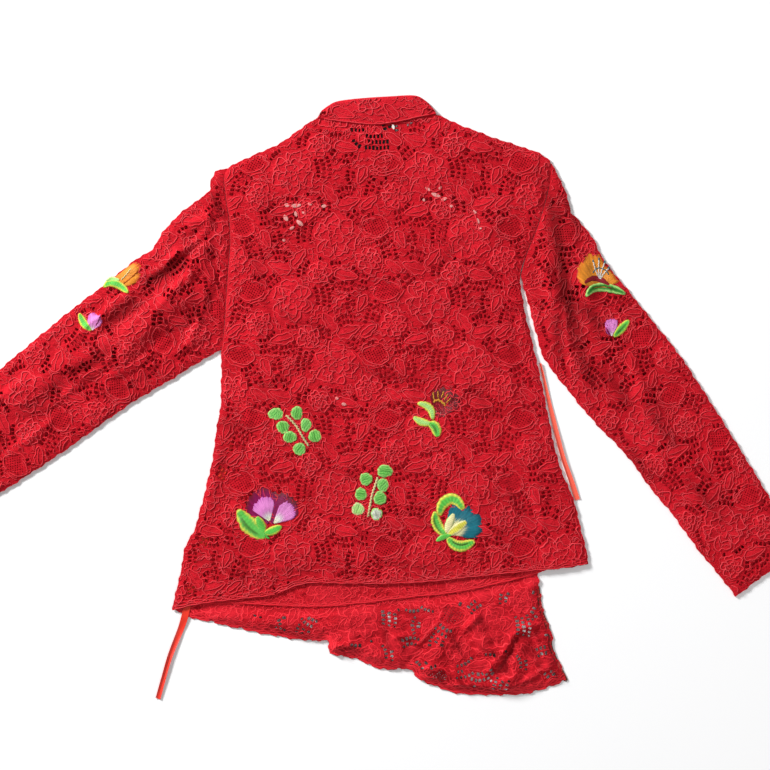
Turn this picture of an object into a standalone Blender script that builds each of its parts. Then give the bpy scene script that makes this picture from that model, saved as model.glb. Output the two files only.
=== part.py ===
"""A red lace wrap top laid flat on a surface with its back face up.

Millimetres in the tables, metres in Blender. x runs to the right of the laid
garment and "down" runs from the nape of the neck to the hem. The layers from
the surface up are the over-wrap front, the under-wrap front and the back.
"""
import math

import bmesh
import bpy
import numpy as np
from mathutils import Vector
from mathutils.geometry import delaunay_2d_cdt

MM = 0.001
# Where the nape lies, measured from the middle of the garment's box.
NAPE_X = 55.5
NAPE_Y = 342.0

CLOTH = 1.2            # wall of the lace
RIBBON = 1.0           # wall of the satin ties
COLLAR_LEAF = 1.3      # wall of one leaf of the folded collar
GAP = 0.3              # clearance between pieces that touch
FRONT_LEVEL = 0.0      # underside of the over-wrap front
UNDER_LEVEL = FRONT_LEVEL + CLOTH + GAP
BACK_LEVEL = UNDER_LEVEL + CLOTH + GAP
SEAM_LEVEL = FRONT_LEVEL + CLOTH + GAP
COLLAR_LIES = 13.0     # width of the back that stays low under the collar
ROLL = 8.0             # width of the band in which an edge rolls down to its seam
RAMP = 12.0            # width in which the under-wrap steps down to the surface
SEAM_GAP = 0.4         # between sleeve and body, seen from above
EDGE_STEP = 17.0       # spacing of points along an outline
GRID = 30.0            # spacing of points inside a panel

LACE_RED = (0.60, 0.016, 0.030, 1.0)
LACE_DEEP = (0.42, 0.010, 0.020, 1.0)
COLLAR_RED = (0.70, 0.020, 0.034, 1.0)
LABEL_BLACK = (0.012, 0.010, 0.012, 1.0)
TIE_ORANGE = (0.85, 0.045, 0.026, 1.0)
TIE_CORAL = (0.93, 0.130, 0.095, 1.0)

# Outlines: each row is (x, down).
BACK_LEFT = [
    (-68.8, -8.8), (-81, -5), (-100, 7.5), (-116, 20), (-141, 32.5), (-170, 45),
    (-187.5, 55), (-192.5, 67.5), (-190, 95), (-186, 120), (-185, 151),
    (-187.5, 182.5), (-190, 220), (-192.5, 257.5), (-196, 282.5), (-196, 320),
    (-197.5, 357.5), (-202.5, 382.5), (-205, 407.5), (-210, 432.5),
    (-216, 457.5), (-222.5, 482.5), (-230, 507.5), (-242.5, 532.5),
    (-246, 557.5), (-252.5, 582.5), (-257.5, 609)]
BACK_HEM = [
    (-257.5, 609), (-226, 601), (-179, 595), (-131, 589), (-91, 575),
    (-34, 575), (15, 575), (66, 572.5), (110, 567.5), (181, 560),
    (227.5, 556), (264, 550)]
BACK_RIGHT = [
    (71, -14), (89, -5), (120, 7.5), (154, 20), (192.5, 32.5), (209, 41),
    (216, 49), (212.5, 82.5), (200, 126), (185, 164), (178, 190), (181, 220),
    (186, 245), (192.5, 270), (197.5, 292.5), (204, 320), (209, 345),
    (214, 370), (219, 395), (225, 420), (234, 445), (245, 470), (251, 495),
    (257.5, 520), (264, 550)]
BACK_NECK = [(71, -14), (66, -17.5), (24, -9.5), (-2.5, -6), (-34, -8),
             (-65, -12.5), (-68.8, -8.8)]
ARMHOLE_LEFT = (6, 14)      # first and last row of the armhole in BACK_LEFT
ARMHOLE_RIGHT = (6, 14)     # the same in BACK_RIGHT

OVER_EDGE = [
    (-65, -9), (-51, -1), (-45, 10), (-43, 24), (-14, 52), (34, 118), (90, 200), (152.5, 276),
    (183, 326), (189, 382.5), (193, 445), (197.5, 507.5), (200, 560),
    (203, 585), (206, 606), (213, 625), (218, 641), (219.5, 657.5),
    (237.5, 695)]
OVER_HEM = [
    (237.5, 695), (192.5, 711), (145, 714), (95, 711), (65, 700), (50, 694),
    (37.5, 681), (7.5, 682.5), (-26, 670), (-47.5, 664.5), (-62, 661), (-62.5, 646),
    (-87.5, 646), (-135, 639), (-177.5, 630), (-210, 622.5), (-235, 617),
    (-252.5, 608)]
UNDER_EDGE = [
    (67.5, -11), (46, -3), (31, 8), (26, 24), (12, 52), (-30, 112), (-78, 185), (-135, 270),
    (-170, 326), (-176, 370), (-182, 407.5), (-193, 457.5), (-204, 507.5),
    (-213, 560), (-222.5, 601)]
UNDER_HEM = [
    (-222.5, 601), (-177.5, 600), (-84, 604), (-26, 600), (37.5, 592.5),
    (102.5, 585), (181, 567.5), (225, 553), (260, 545)]

SLEEVE_LEFT_TOP = [
    (-204, 59), (-210, 72.5), (-211, 84), (-226, 95), (-242.5, 107.5),
    (-256, 120), (-267.5, 132.5), (-275, 145), (-284, 157.5), (-304, 170),
    (-320, 182.5), (-351, 207.5), (-384, 232.5), (-447.5, 285),
    (-510, 337.5), (-572.5, 390), (-637.5, 445)]
SLEEVE_LEFT_LOW = [
    (-577.5, 525), (-510, 484), (-447.5, 445), (-391, 407.5), (-339, 370),
    (-302.5, 345), (-260, 320), (-220, 295)]
SLEEVE_RIGHT_TOP = [
    (222.5, 57.5), (227.5, 70), (234, 82.5), (239, 97.5), (241, 110),
    (251, 120), (270, 145), (282.5, 170), (302.5, 195), (322.5, 220),
    (342.5, 245), (372.5, 282.5), (390, 307.5), (434, 376), (484, 457.5),
    (527.5, 531)]
SLEEVE_RIGHT_LOW = [
    (447.5, 591), (427.5, 565), (402.5, 535), (382.5, 507.5), (364, 482.5),
    (342.5, 457.5), (325, 432.5), (305, 407.5), (280, 382.5), (257.5, 357.5),
    (237.5, 332.5), (217.5, 307.5), (208.5, 294)]
# The right sleeve stands a little off the body below this row of its armhole.
SLIT = [(204.5, 286), (200, 270), (193.5, 245), (187, 220)]

# Rows across the collar: top x, top down, low x, low down.
COLLAR = [
    (-70, -17.5, -76, -7.5), (-61, -24, -62.5, -5.5), (-50, -29, -34, -1.5),
    (-22.5, -32.5, -2.5, 0.8), (15, -35, 24, -2.5), (46, -36, 52.5, -9),
    (60, -29, 65, -11.5), (70, -18.5, 73, -13)]
LABEL = dict(left=-40.0, right=22.0, top=-3.0, low=34.0)
LABEL_WALL = 1.1
LABEL_STEP = (8.0, 20.0)   # between these the label rises onto the level above the fronts
LABEL_RISE = 1.55

# Rows along the ties: x, down, width, underside.
TIE_LEFT = [
    (-187, 392, 10.0, 1.5), (-192, 425, 10.0, 1.5), (-203, 470, 10.0, 1.5),
    (-217, 520, 10.0, 1.5), (-231, 570, 10.0, 1.5), (-239.5, 606, 10.0, 1.5),
    (-242, 617, 10.0, 1.5), (-247, 632, 10.0, 0.0), (-260, 665, 10.0, 0.0),
    (-268, 692, 9.6, 0.0), (-275.5, 719, 9.2, 0.0)]
TIE_RIGHT = [
    (203.2, 299, 2.6, 0.0), (207.6, 318, 3.4, 0.0), (213.6, 345, 5.0, 0.0),
    (219.6, 370, 6.6, 0.0), (225.6, 395, 8.2, 0.0), (232.4, 420, 8.8, 0.0),
    (241.4, 445, 9.4, 0.0), (249.8, 470, 9.0, 0.0)]

# Folds: x, down, heading in degrees, half length, half width, height.
BACK_FOLDS = [
    (-120, 330, 12, 90, 22, 2.0), (70, 470, -8, 110, 26, 1.8),
    (-30, 180, -15, 80, 24, 1.6), (120, 250, 62, 70, 16, 2.4),
    (-60, 540, 8, 90, 20, 2.2), (150, 520, 70, 60, 18, 2.0),
    (-190, 520, 74, 60, 14, 1.6), (-10, 60, 4, 90, 18, 1.4),
    (-150, 110, 70, 50, 16, 1.8), (150, 110, 115, 50, 16, 1.8),
    (0, 400, 80, 70, 24, 1.5), (200, 430, 80, 60, 14, 1.6)]
SLEEVE_LEFT_FOLDS = [
    (-238, 190, 128, 60, 12, 4.2), (-285, 255, 136, 90, 13, 4.4),
    (-345, 285, 150, 80, 15, 3.6), (-430, 330, 145, 70, 15, 3.0),
    (-520, 410, 142, 70, 16, 2.6), (-225, 120, 155, 40, 10, 2.6)]
SLEEVE_RIGHT_FOLDS = [
    (246, 150, 66, 75, 11, 4.2), (262, 240, 72, 70, 13, 3.8),
    (215, 205, 78, 60, 10, 4.0), (312, 290, 58, 70, 14, 3.4),
    (360, 390, 54, 80, 15, 3.0), (440, 500, 52, 70, 15, 2.6)]
FLAP_FOLDS = [
    (-54, 655, 70, 16, 5, 3.2), (-8, 660, 28, 40, 8, 3.6),
    (24, 640, 78, 28, 9, 4.2), (78, 656, 108, 42, 10, 4.8),
    (128, 640, 68, 44, 10, 5.2), (176, 664, 104, 40, 10, 4.8),
    (118, 694, 8, 66, 8, 3.6), (212, 662, 80, 30, 7, 2.6),
    (-140, 624, 8, 60, 8, 2.4), (-92, 634, 28, 30, 8, 2.2)]
BAND_CLEAR = 5.0       # the flap stays flat this far below the hems that lie on it
FLAP_LOOSE = 3.5       # how high the crumpled flap lies inside its hem

# The lace repeat, in its own millimetres. The second half of each repeat is
# the first one mirrored and set half a repeat over and half a repeat down.
REPEAT_WIDE, REPEAT_HIGH = 168.0, 160.0
# x, y, radius, petals, turn, depth of the notches
FLOWERS = [(-15, 1, 27, 5, 18, 0.20), (26, 30, 16.5, 6, 0, 0.15),
           (-49, -34, 14.5, 5, 40, 0.16)]
# x, y, half length, half width, tilt
OVALS = [(35, -11, 17, 11, 14)]
LEAVES = [(-2, 49, 15, 6.5, 12), (-61, 28, 14, 6, -52), (1, -41, 15, 7, -18),
          (66, 4, 11, 6, 66), (27, -42, 12, 5.5, -40)]
# x, y of the arc's middle, first radius, from, to, rows
LADDERS = [(-15, 1, 33, 74, 132, 2), (-15, 1, 32.5, 168, 214, 3),
           (-15, 1, 32, 292, 336, 2), (35, -11, 19, 30, 96, 2),
           (35, -11, 17, 196, 268, 2), (26, 30, 21, 86, 158, 3),
           (26, 30, 21, -34, 26, 3), (-49, -34, 19, -56, 14, 2),
           (-49, -34, 19, 120, 182, 2), (1, -41, 12, 206, 304, 2),
           (-61, 28, 12, 60, 190, 2), (-2, 49, 11, 40, 140, 2),
           (66, 4, 11, -40, 60, 2), (27, -42, 11, 250, 340, 2)]
SLOT_PITCH, ROW_PITCH = 5.1, 7.2
SLOT_WIDE, SLOT_HIGH = 4.1, 5.9
LARGEST_OF_EACH = 11      # slots cut in each half repeat, the largest first


def turned(points, degrees):
    c, s = math.cos(math.radians(degrees)), math.sin(math.radians(degrees))
    p = np.asarray(points, float)
    return np.stack([p[..., 0] * c - p[..., 1] * s, p[..., 0] * s + p[..., 1] * c], -1)


def flower_outline(x, y, radius, petals, turn, depth, count=72):
    """A round flower: the radius swells once for each petal."""
    t = np.linspace(0, 2 * math.pi, count, endpoint=False)
    lobe = np.abs(np.sin(petals * (t - math.radians(turn)) / 2)) ** 0.6
    r = radius * (1 - depth + 1.35 * depth * lobe)
    return np.stack([x + r * np.cos(t), y + r * np.sin(t)], -1)


def oval_outline(x, y, long, short, tilt, count=48):
    t = np.linspace(0, 2 * math.pi, count, endpoint=False)
    return turned(np.stack([long * np.cos(t), short * np.sin(t)], -1), tilt) + [x, y]


def motif_outlines():
    motifs = [flower_outline(*row) for row in FLOWERS]
    motifs += [oval_outline(*row) for row in OVALS]
    motifs += [oval_outline(x, y, a * 0.95, b * 0.9, tilt) for x, y, a, b, tilt in LEAVES]
    return motifs


def images(points):
    """The same points in the half repeat itself and in its eight neighbours."""
    p = np.asarray(points, float)
    found = [p]
    for sx in (-1, 1):
        for sy in (-1, 1):
            found.append(np.stack([-p[..., 0] + sx * REPEAT_WIDE / 2,
                                   p[..., 1] + sy * REPEAT_HIGH / 2], -1))
    for shift in ((REPEAT_WIDE, 0), (-REPEAT_WIDE, 0), (0, REPEAT_HIGH), (0, -REPEAT_HIGH)):
        found.append(p + shift)
    return found


def inside(points, loop):
    """True for the points that lie inside the closed loop."""
    p = np.atleast_2d(points)[:, None, :]
    a = loop[None, :, :]
    b = np.roll(loop, -1, axis=0)[None, :, :]
    rises = (a[..., 1] > p[..., 1]) != (b[..., 1] > p[..., 1])
    run = np.where(np.abs(b[..., 1] - a[..., 1]) < 1e-12, 1e-12, b[..., 1] - a[..., 1])
    cross = a[..., 0] + (b[..., 0] - a[..., 0]) * (p[..., 1] - a[..., 1]) / run
    return ((rises & (p[..., 0] < cross)).sum(axis=1) % 2) == 1


def distance(points, line, closed=False):
    """Distance from each point to a run of straight pieces."""
    p = np.atleast_2d(points)[:, None, :]
    a = line if closed else line[:-1]
    b = np.roll(line, -1, axis=0) if closed else line[1:]
    run = (b - a)[None]
    length = np.maximum((run ** 2).sum(-1), 1e-12)
    t = np.clip(((p - a[None]) * run).sum(-1) / length, 0, 1)
    return np.sqrt(((p - a[None] - t[..., None] * run) ** 2).sum(-1)).min(axis=1)


def repeat_slots():
    """Slots along the ladders, without those that would touch a motif or a slot.

    Each row holds x, y, width, height, tilt, the largest first.
    """
    motifs = [image for outline in motif_outlines() for image in images(outline)]
    kept = []
    for x, y, first, start, end, rows in LADDERS:
        for row in range(rows):
            radius = first + row * ROW_PITCH
            count = max(2, int(math.radians(end - start) * radius / SLOT_PITCH))
            middle = (count - 1) / 2
            for step in range(count):
                angle = math.radians((start + end) / 2 + (step - middle) * math.degrees(SLOT_PITCH / radius))
                outer = abs(step - middle) / max(middle, 1)
                size = 1 - 0.22 * outer ** 2 - 0.05 * row
                spot = np.array([x + radius * math.cos(angle), y + radius * math.sin(angle)])
                if any(inside(spot, m)[0] or distance(spot, m, True)[0] < 3.0 for m in motifs):
                    continue
                if any(np.hypot(*(image - spot)) < 4.9 for slot in kept for image in images(slot[:2])):
                    continue
                kept.append((spot[0], spot[1], SLOT_WIDE * size, SLOT_HIGH * size,
                             math.degrees(angle) + 90))
    return sorted(kept, key=lambda slot: -slot[2] * slot[3])


SLOTS = repeat_slots()


def lace_slots(loop, origin, tilt, edge=6.0, each=LARGEST_OF_EACH):
    """Corner points of the largest slots of each repeat that fit inside the loop."""
    corners = np.array([(-0.5, -0.5), (0.5, -0.5), (0.5, 0.5), (-0.5, 0.5)])
    found = []
    for row in range(-7, 8):
        for column in range(-7, 8):
            for mirrored in (False, True):
                shift = np.array([column * REPEAT_WIDE, row * REPEAT_HIGH])
                for x, y, wide, high, angle in SLOTS[:each]:
                    box = turned(corners * [wide, high], angle) + [x, y]
                    if mirrored:
                        box = box * [-1, 1] + [REPEAT_WIDE / 2, REPEAT_HIGH / 2]
                        box = box[::-1]
                    found.append(turned(box + shift, tilt) + origin)
    found = np.array(found)
    middles = found.mean(axis=1)
    near = (middles >= loop.min(axis=0)).all(axis=1) & (middles <= loop.max(axis=0)).all(axis=1)
    found, middles = found[near], middles[near]
    clear = inside(middles, loop) & (distance(middles, loop, True) > edge)
    return found[clear]


def smooth(rows, step=EDGE_STEP):
    """A curve through the rows, with a point about every step."""
    p = np.array(rows, float)
    padded = np.vstack([2 * p[0] - p[1], p, 2 * p[-1] - p[-2]])
    points = []
    for i in range(len(p) - 1):
        a, b, c, d = padded[i:i + 4]
        count = max(1, int(round(np.hypot(*(c - b)) / step)))
        for k in range(count):
            t = k / count
            points.append(0.5 * (2 * b + (c - a) * t + (2 * a - 5 * b + 4 * c - d) * t * t
                                 + (3 * b - a - 3 * c + d) * t ** 3))
    points.append(p[-1])
    return np.array(points)


def joined(*lines):
    """One closed loop from lines that follow each other."""
    points = []
    for line in lines:
        for point in line:
            if not points or np.hypot(*(point - points[-1])) > 1.5:
                points.append(point)
    if np.hypot(*(points[0] - points[-1])) < 1.5:
        points.pop()
    return np.array(points)


def fold_height(points, folds):
    """Soft ridges: a bell across each fold, faded out towards its two ends."""
    height = np.zeros(len(points))
    for x, down, heading, long, wide, high in folds:
        local = turned(points - [x, down], -heading)
        height += high * np.exp(-(local[:, 1] / wide) ** 2) * np.exp(-(local[:, 0] / long) ** 4)
    return height


def eased(value):
    t = np.clip(value, 0, 1)
    return t * t * (3 - 2 * t)


def world(points, height):
    """Garment millimetres to metres, with the garment's box centred."""
    return [Vector(((x + NAPE_X) * MM, (NAPE_Y - down) * MM, z * MM))
            for (x, down), z in zip(points, height)]


def material(name, colour, roughness):
    made = bpy.data.materials.new(name)
    made.use_nodes = True
    shader = made.node_tree.nodes["Principled BSDF"]
    shader.inputs["Base Color"].default_value = colour
    shader.inputs["Roughness"].default_value = roughness
    shader.inputs["Metallic"].default_value = 0.0
    made.diffuse_color = colour
    return made


def panel(name, loop, underside, wall, surface, gaps=(), extra=(), grid=GRID):
    """A wall of cloth inside a closed loop, with gaps cut through it.

    underside and wall are functions of the points.
    """
    gaps = np.array(gaps, float).reshape(-1, 4, 2)
    low, high = loop.min(axis=0), loop.max(axis=0)
    columns = np.arange(low[0], high[0], grid)
    rows = np.arange(low[1], high[1], grid * 0.87)
    inner = np.array([(x + (k % 2) * grid / 2, y) for k, y in enumerate(rows) for x in columns])
    inner = np.vstack([inner] + [np.asarray(line, float) for line in extra])
    inner = inner[inside(inner, loop) & (distance(inner, loop, True) > 5.0)]
    if len(gaps):
        corners = gaps.reshape(-1, 2)
        apart = np.sqrt(((inner[:, None, :] - gaps.mean(axis=1)[None]) ** 2).sum(-1)).min(axis=1)
        inner = inner[apart > 6.0]
    else:
        corners = np.zeros((0, 2))
    order = np.lexsort((inner[:, 1], inner[:, 0]))
    thinned = []
    for index in order:
        if all(np.hypot(*(inner[index] - other)) > 6.0 for other in thinned[-60:]):
            thinned.append(inner[index])
    points = np.vstack([loop, corners, np.array(thinned).reshape(-1, 2)])
    edges = [(i, (i + 1) % len(loop)) for i in range(len(loop))]
    for k in range(len(gaps)):
        first = len(loop) + 4 * k
        edges += [(first + i, first + (i + 1) % 4) for i in range(4)]
    flat = delaunay_2d_cdt([Vector(p) for p in points], edges, [], 1, 1e-5)
    flat_points = np.array([tuple(p) for p in flat[0]])
    faces = np.array(flat[2])
    middles = flat_points[faces].mean(axis=1)
    keep = inside(middles, loop)
    for gap in gaps:
        close = np.abs(middles - gap.mean(axis=0)).max(axis=1) < 6.0
        keep[close] &= ~inside(middles[close], gap)
    faces = faces[keep]

    mesh = bpy.data.meshes.new(name)
    shape = bmesh.new()
    base = underside(flat_points)
    vertices = [shape.verts.new(v) for v in world(flat_points, base)]
    for a, b, c in faces:
        shape.faces.new((vertices[a], vertices[b], vertices[c]))
    for vertex in [v for v in shape.verts if not v.link_faces]:
        shape.verts.remove(vertex)
    bmesh.ops.recalc_face_normals(shape, faces=shape.faces[:])
    made = bmesh.ops.extrude_face_region(shape, geom=shape.faces[:], use_keep_orig=True)
    raised = [v for v in made["geom"] if isinstance(v, bmesh.types.BMVert)]
    places = np.array([((v.co.x / MM) - NAPE_X, NAPE_Y - v.co.y / MM) for v in raised])
    for vertex, thick in zip(raised, wall(places)):
        vertex.co.z += thick * MM
    bmesh.ops.recalc_face_normals(shape, faces=shape.faces[:])
    if shape.calc_volume(signed=True) < 0:
        bmesh.ops.reverse_faces(shape, faces=shape.faces[:])
    shape.to_mesh(mesh)
    shape.free()
    return place(name, mesh, surface)


def place(name, mesh, surface):
    piece = bpy.data.objects.new(name, mesh)
    mesh.materials.append(surface)
    parts.objects.link(piece)
    return piece


def ribbon(name, rows, surface):
    """A flat strip through its rows, its wall standing on each row's underside."""
    line = smooth([row[:2] for row in rows], 16.0)
    along = np.concatenate([[0], np.cumsum(np.hypot(*np.diff(line, axis=0).T))])
    marks = np.concatenate([[0], np.cumsum(np.hypot(*np.diff(np.array(rows)[:, :2], axis=0).T))])
    marks = marks * along[-1] / marks[-1]
    wide = np.interp(along, marks, [row[2] for row in rows])
    under = np.interp(along, marks, [row[3] for row in rows])
    heading = np.gradient(line, axis=0)
    heading /= np.hypot(*heading.T)[:, None]
    across = np.stack([-heading[:, 1], heading[:, 0]], -1)
    shape = bmesh.new()
    rings = []
    for centre, side, half, base in zip(line, across, wide / 2, under):
        corners = [centre - side * half, centre + side * half]
        ring = [shape.verts.new(v) for v in world(corners, [base, base])]
        ring += [shape.verts.new(v) for v in world(corners[::-1], [base + RIBBON] * 2)]
        rings.append(ring)
    for here, there in zip(rings, rings[1:]):
        for k in range(4):
            shape.faces.new((here[k], here[(k + 1) % 4], there[(k + 1) % 4], there[k]))
    shape.faces.new(rings[0])
    shape.faces.new(rings[-1][::-1])
    bmesh.ops.recalc_face_normals(shape, faces=shape.faces[:])
    mesh = bpy.data.meshes.new(name)
    shape.to_mesh(mesh)
    shape.free()
    return place(name, mesh, surface)


def folded_collar(name, rows, surface):
    """The collar's two leaves: one section, folded over at the top, run through the rows."""
    top = smooth([row[:2] for row in rows], 9.0)
    count = len(top)
    fine = np.linspace(0, 1, count)
    low_line = smooth([row[2:] for row in rows], 9.0)
    low = np.stack([np.interp(fine, np.linspace(0, 1, len(low_line)), low_line[:, k]) for k in (0, 1)], -1)
    upper = SEAM_LEVEL + CLOTH + GAP
    high = upper + COLLAR_LEAF
    # The section, from the low edge over the fold to the end of the under leaf:
    # share of the way up, height.
    section = [(0.0, upper), (0.0, high - 0.3), (0.06, high), (0.5, high + 0.5), (0.86, high),
               (0.97, high - 0.9), (1.0, high * 0.5), (0.97, 0.5), (0.9, 0.0), (0.3, 0.0),
               (0.3, COLLAR_LEAF - 0.1), (0.84, COLLAR_LEAF - 0.1), (0.88, high * 0.5),
               (0.84, upper), (0.5, upper + 0.4)]
    shape = bmesh.new()
    rings = []
    for a, b, end in zip(top, low, np.abs(2 * fine - 1) ** 4):
        spots = [b + (a - b) * (share + 0.42 * end * (share == 0.3)) for share, _ in section]
        rings.append([shape.verts.new(v) for v in world(spots, [z for _, z in section])])
    size = len(section)
    for here, there in zip(rings, rings[1:]):
        for k in range(size):
            shape.faces.new((here[k], here[(k + 1) % size], there[(k + 1) % size], there[k]))
    for ring in (rings[0], rings[-1]):
        cap = shape.faces.new(ring)
        bmesh.ops.triangulate(shape, faces=[cap], ngon_method="EAR_CLIP")
    bmesh.ops.recalc_face_normals(shape, faces=shape.faces[:])
    mesh = bpy.data.meshes.new(name)
    shape.to_mesh(mesh)
    shape.free()
    return place(name, mesh, surface)


def offset(line, amount):
    """The line moved sideways: to its left as it runs, seen with down pointing down."""
    heading = np.gradient(line, axis=0)
    heading /= np.maximum(np.hypot(*heading.T)[:, None], 1e-9)
    return line + amount * np.stack([heading[:, 1], -heading[:, 0]], -1)


for thing in list(bpy.data.objects):
    bpy.data.objects.remove(thing, do_unlink=True)
parts = bpy.data.collections.new("lace_top")
bpy.context.scene.collection.children.link(parts)

lace = material("lace_red", LACE_RED, 0.7)
lace_front = material("lace_front_red", LACE_DEEP, 0.7)
collar_cloth = material("collar_red", COLLAR_RED, 0.65)
label_cloth = material("label_black", LABEL_BLACK, 0.6)
orange_satin = material("tie_orange", TIE_ORANGE, 0.4)
coral_satin = material("tie_coral", TIE_CORAL, 0.4)

left_side = smooth(BACK_LEFT)
right_side = smooth(BACK_RIGHT)
neck = smooth(BACK_NECK, 11.0)
hem = smooth(BACK_HEM)
over_edge = smooth(OVER_EDGE)
over_hem = smooth(OVER_HEM, 12.0)
under_edge = smooth(UNDER_EDGE, 6.0)
under_hem = smooth(UNDER_HEM)


def even_wall(points):
    return np.full(len(points), CLOTH)


over_run_in = np.vstack([over_edge[-8:], over_hem])
# Over-wrap front, flat on the surface; only the flap below the band lifts in folds.
over_side = smooth([(x + 1.2, down + 0.6) for x, down in BACK_LEFT[:-1]] + [(-252.5, 608)])
over_loop = joined(over_edge, over_hem[1:], over_side[::-1])


def hems_above(x):
    """The lower one of the two hems that lie on the over-wrap."""
    return np.maximum(np.interp(x, under_hem[:, 0], under_hem[:, 1]), np.interp(x, hem[:, 0], hem[:, 1]))


def over_underside(points):
    below_hem = eased((points[:, 1] - hems_above(points[:, 0]) - BAND_CLEAR) / 10)
    loose = FLAP_LOOSE * eased((distance(points, over_run_in) - 1) / 13)
    return FRONT_LEVEL + (loose + fold_height(points, FLAP_FOLDS)) * below_hem


over_slots = lace_slots(over_loop, (38, 702), 4, edge=5.5, each=18)
over_slots = over_slots[over_slots.mean(axis=1)[:, 1] > 626]
flap_grid = [(x + 7.5 * (k % 2), down) for k, down in enumerate(range(570, 712, 13)) for x in range(-225, 235, 15)
             if down > hems_above(x) + 12]
hem_line = np.array([(x, hems_above(x)) for x in range(-215, 232, 16)])
panel("front_over", over_loop, over_underside, even_wall, lace_front, over_slots,
      extra=[hem_line + [0, 1.2], hem_line + [0, BAND_CLEAR + 0.6], flap_grid, [(-54, 658), (-58, 650), (-50, 664)]], grid=44.0)

# Under-wrap front: on the over-wrap, and down on the surface beyond its free edge.
under_side = smooth([(x - 1.2, down + 0.6) for x, down in BACK_RIGHT[:-1]] + [(260, 545)])
under_loop = joined(under_edge, under_hem[1:], under_side[::-1])
over_run = np.vstack([over_edge[0] - [20, 37], over_edge])


def beyond_over(points):
    """How far a point lies to the right of the over-wrap's free edge."""
    away = distance(points, over_run)
    shape = np.vstack([over_run, over_run[-1] + [0, 400], (-900, 1100), (-900, -400)])
    return np.where(inside(points, shape), -away, away)


def under_underside(points):
    return UNDER_LEVEL * (1 - np.clip((beyond_over(points) - 1.5) / RAMP, 0, 1)) + FRONT_LEVEL


steps = [offset(over_edge, amount) for amount in (-1.0, 1.8, 14.0)]
panel("front_under", under_loop, under_underside, even_wall, lace_front, extra=steps, grid=46.0)

# Back: rolls down to the seams, lies over both fronts between them.
back_loop = joined(neck, left_side[1:], hem[1:], right_side[::-1][1:-1])


def back_underside(points):
    away = np.minimum(np.minimum(distance(points, left_side), distance(points, right_side)),
                      np.maximum(distance(points, neck) - COLLAR_LIES, 0))
    rise = eased(away / ROLL) * (BACK_LEVEL - SEAM_LEVEL)
    loose = eased((away - ROLL) / 34) * (0.6 + fold_height(points, BACK_FOLDS))
    return SEAM_LEVEL + rise + loose


back_slots = lace_slots(back_loop, (-38, 300), 0, edge=12.5)
rings = [offset(left_side, ROLL), offset(right_side, -ROLL), offset(neck, COLLAR_LIES), offset(neck, COLLAR_LIES + ROLL)]
panel("back", back_loop, back_underside, even_wall, lace, back_slots, extra=rings)

# Sleeves, cut open along both flat edges into an upper and an under half.
armhole_left = smooth(BACK_LEFT[ARMHOLE_LEFT[0]:ARMHOLE_LEFT[1] + 1]) - [SEAM_GAP + 0.3, 0]
armhole_right = smooth(BACK_RIGHT[ARMHOLE_RIGHT[0]:ARMHOLE_RIGHT[1] - 3]) + [SEAM_GAP + 0.3, 0]
sleeve_loops = {
    "left": joined(armhole_left[::-1], smooth(SLEEVE_LEFT_TOP), smooth(SLEEVE_LEFT_LOW)),
    "right": joined(smooth(SLEEVE_RIGHT_TOP), smooth(SLEEVE_RIGHT_LOW), smooth(SLIT),
                    armhole_right[::-1]),
}
sleeve_folds = {"left": SLEEVE_LEFT_FOLDS, "right": SLEEVE_RIGHT_FOLDS}
sleeve_lace = {"left": ((-300, 250), 53), "right": ((250, 240), -37)}

for side, loop in sleeve_loops.items():
    folds = sleeve_folds[side]

    def upper_underside(points):
        away = distance(points, loop, True)
        rise = eased(away / ROLL) * (BACK_LEVEL - SEAM_LEVEL)
        return SEAM_LEVEL + rise + eased((away - ROLL) / 22) * (0.6 + fold_height(points, folds))

    slots = lace_slots(loop, *sleeve_lace[side], edge=12.5)
    inner_ring = loop + 0.0
    centre = loop.mean(axis=0)
    heading = np.roll(loop, -1, axis=0) - np.roll(loop, 1, axis=0)
    heading /= np.hypot(*heading.T)[:, None]
    inward = np.stack([heading[:, 1], -heading[:, 0]], -1)
    trial = loop + inward * ROLL
    if inside(trial, loop).mean() < 0.5:
        trial = loop - inward * ROLL
    panel(f"sleeve_{side}_upper", loop, upper_underside, even_wall, lace, slots, extra=[trial])
    panel(f"sleeve_{side}_under", loop, lambda p: np.zeros(len(p)), even_wall, lace_front, grid=90.0)

folded_collar("collar", COLLAR, collar_cloth)
ribbon("tie_left", TIE_LEFT, orange_satin)
ribbon("tie_right", TIE_RIGHT, coral_satin)


def label_underside(points):
    low, high = LABEL_STEP
    return LABEL_RISE * eased((points[:, 1] - low) / (high - low))


across = np.linspace(LABEL["left"], LABEL["right"], 5)
down = np.linspace(LABEL["top"], LABEL["low"], 7)
label_loop = np.array([(x, down[0]) for x in across] + [(across[-1], y) for y in down[1:]]
                      + [(x, down[-1]) for x in across[-2::-1]] + [(across[0], y) for y in down[-2:0:-1]])
panel("neck_label", label_loop, label_underside, lambda p: np.full(len(p), LABEL_WALL), label_cloth, grid=6.5)
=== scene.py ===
import math
import time

import bpy
import numpy as np
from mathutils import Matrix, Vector
from mathutils.geometry import delaunay_2d_cdt


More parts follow.
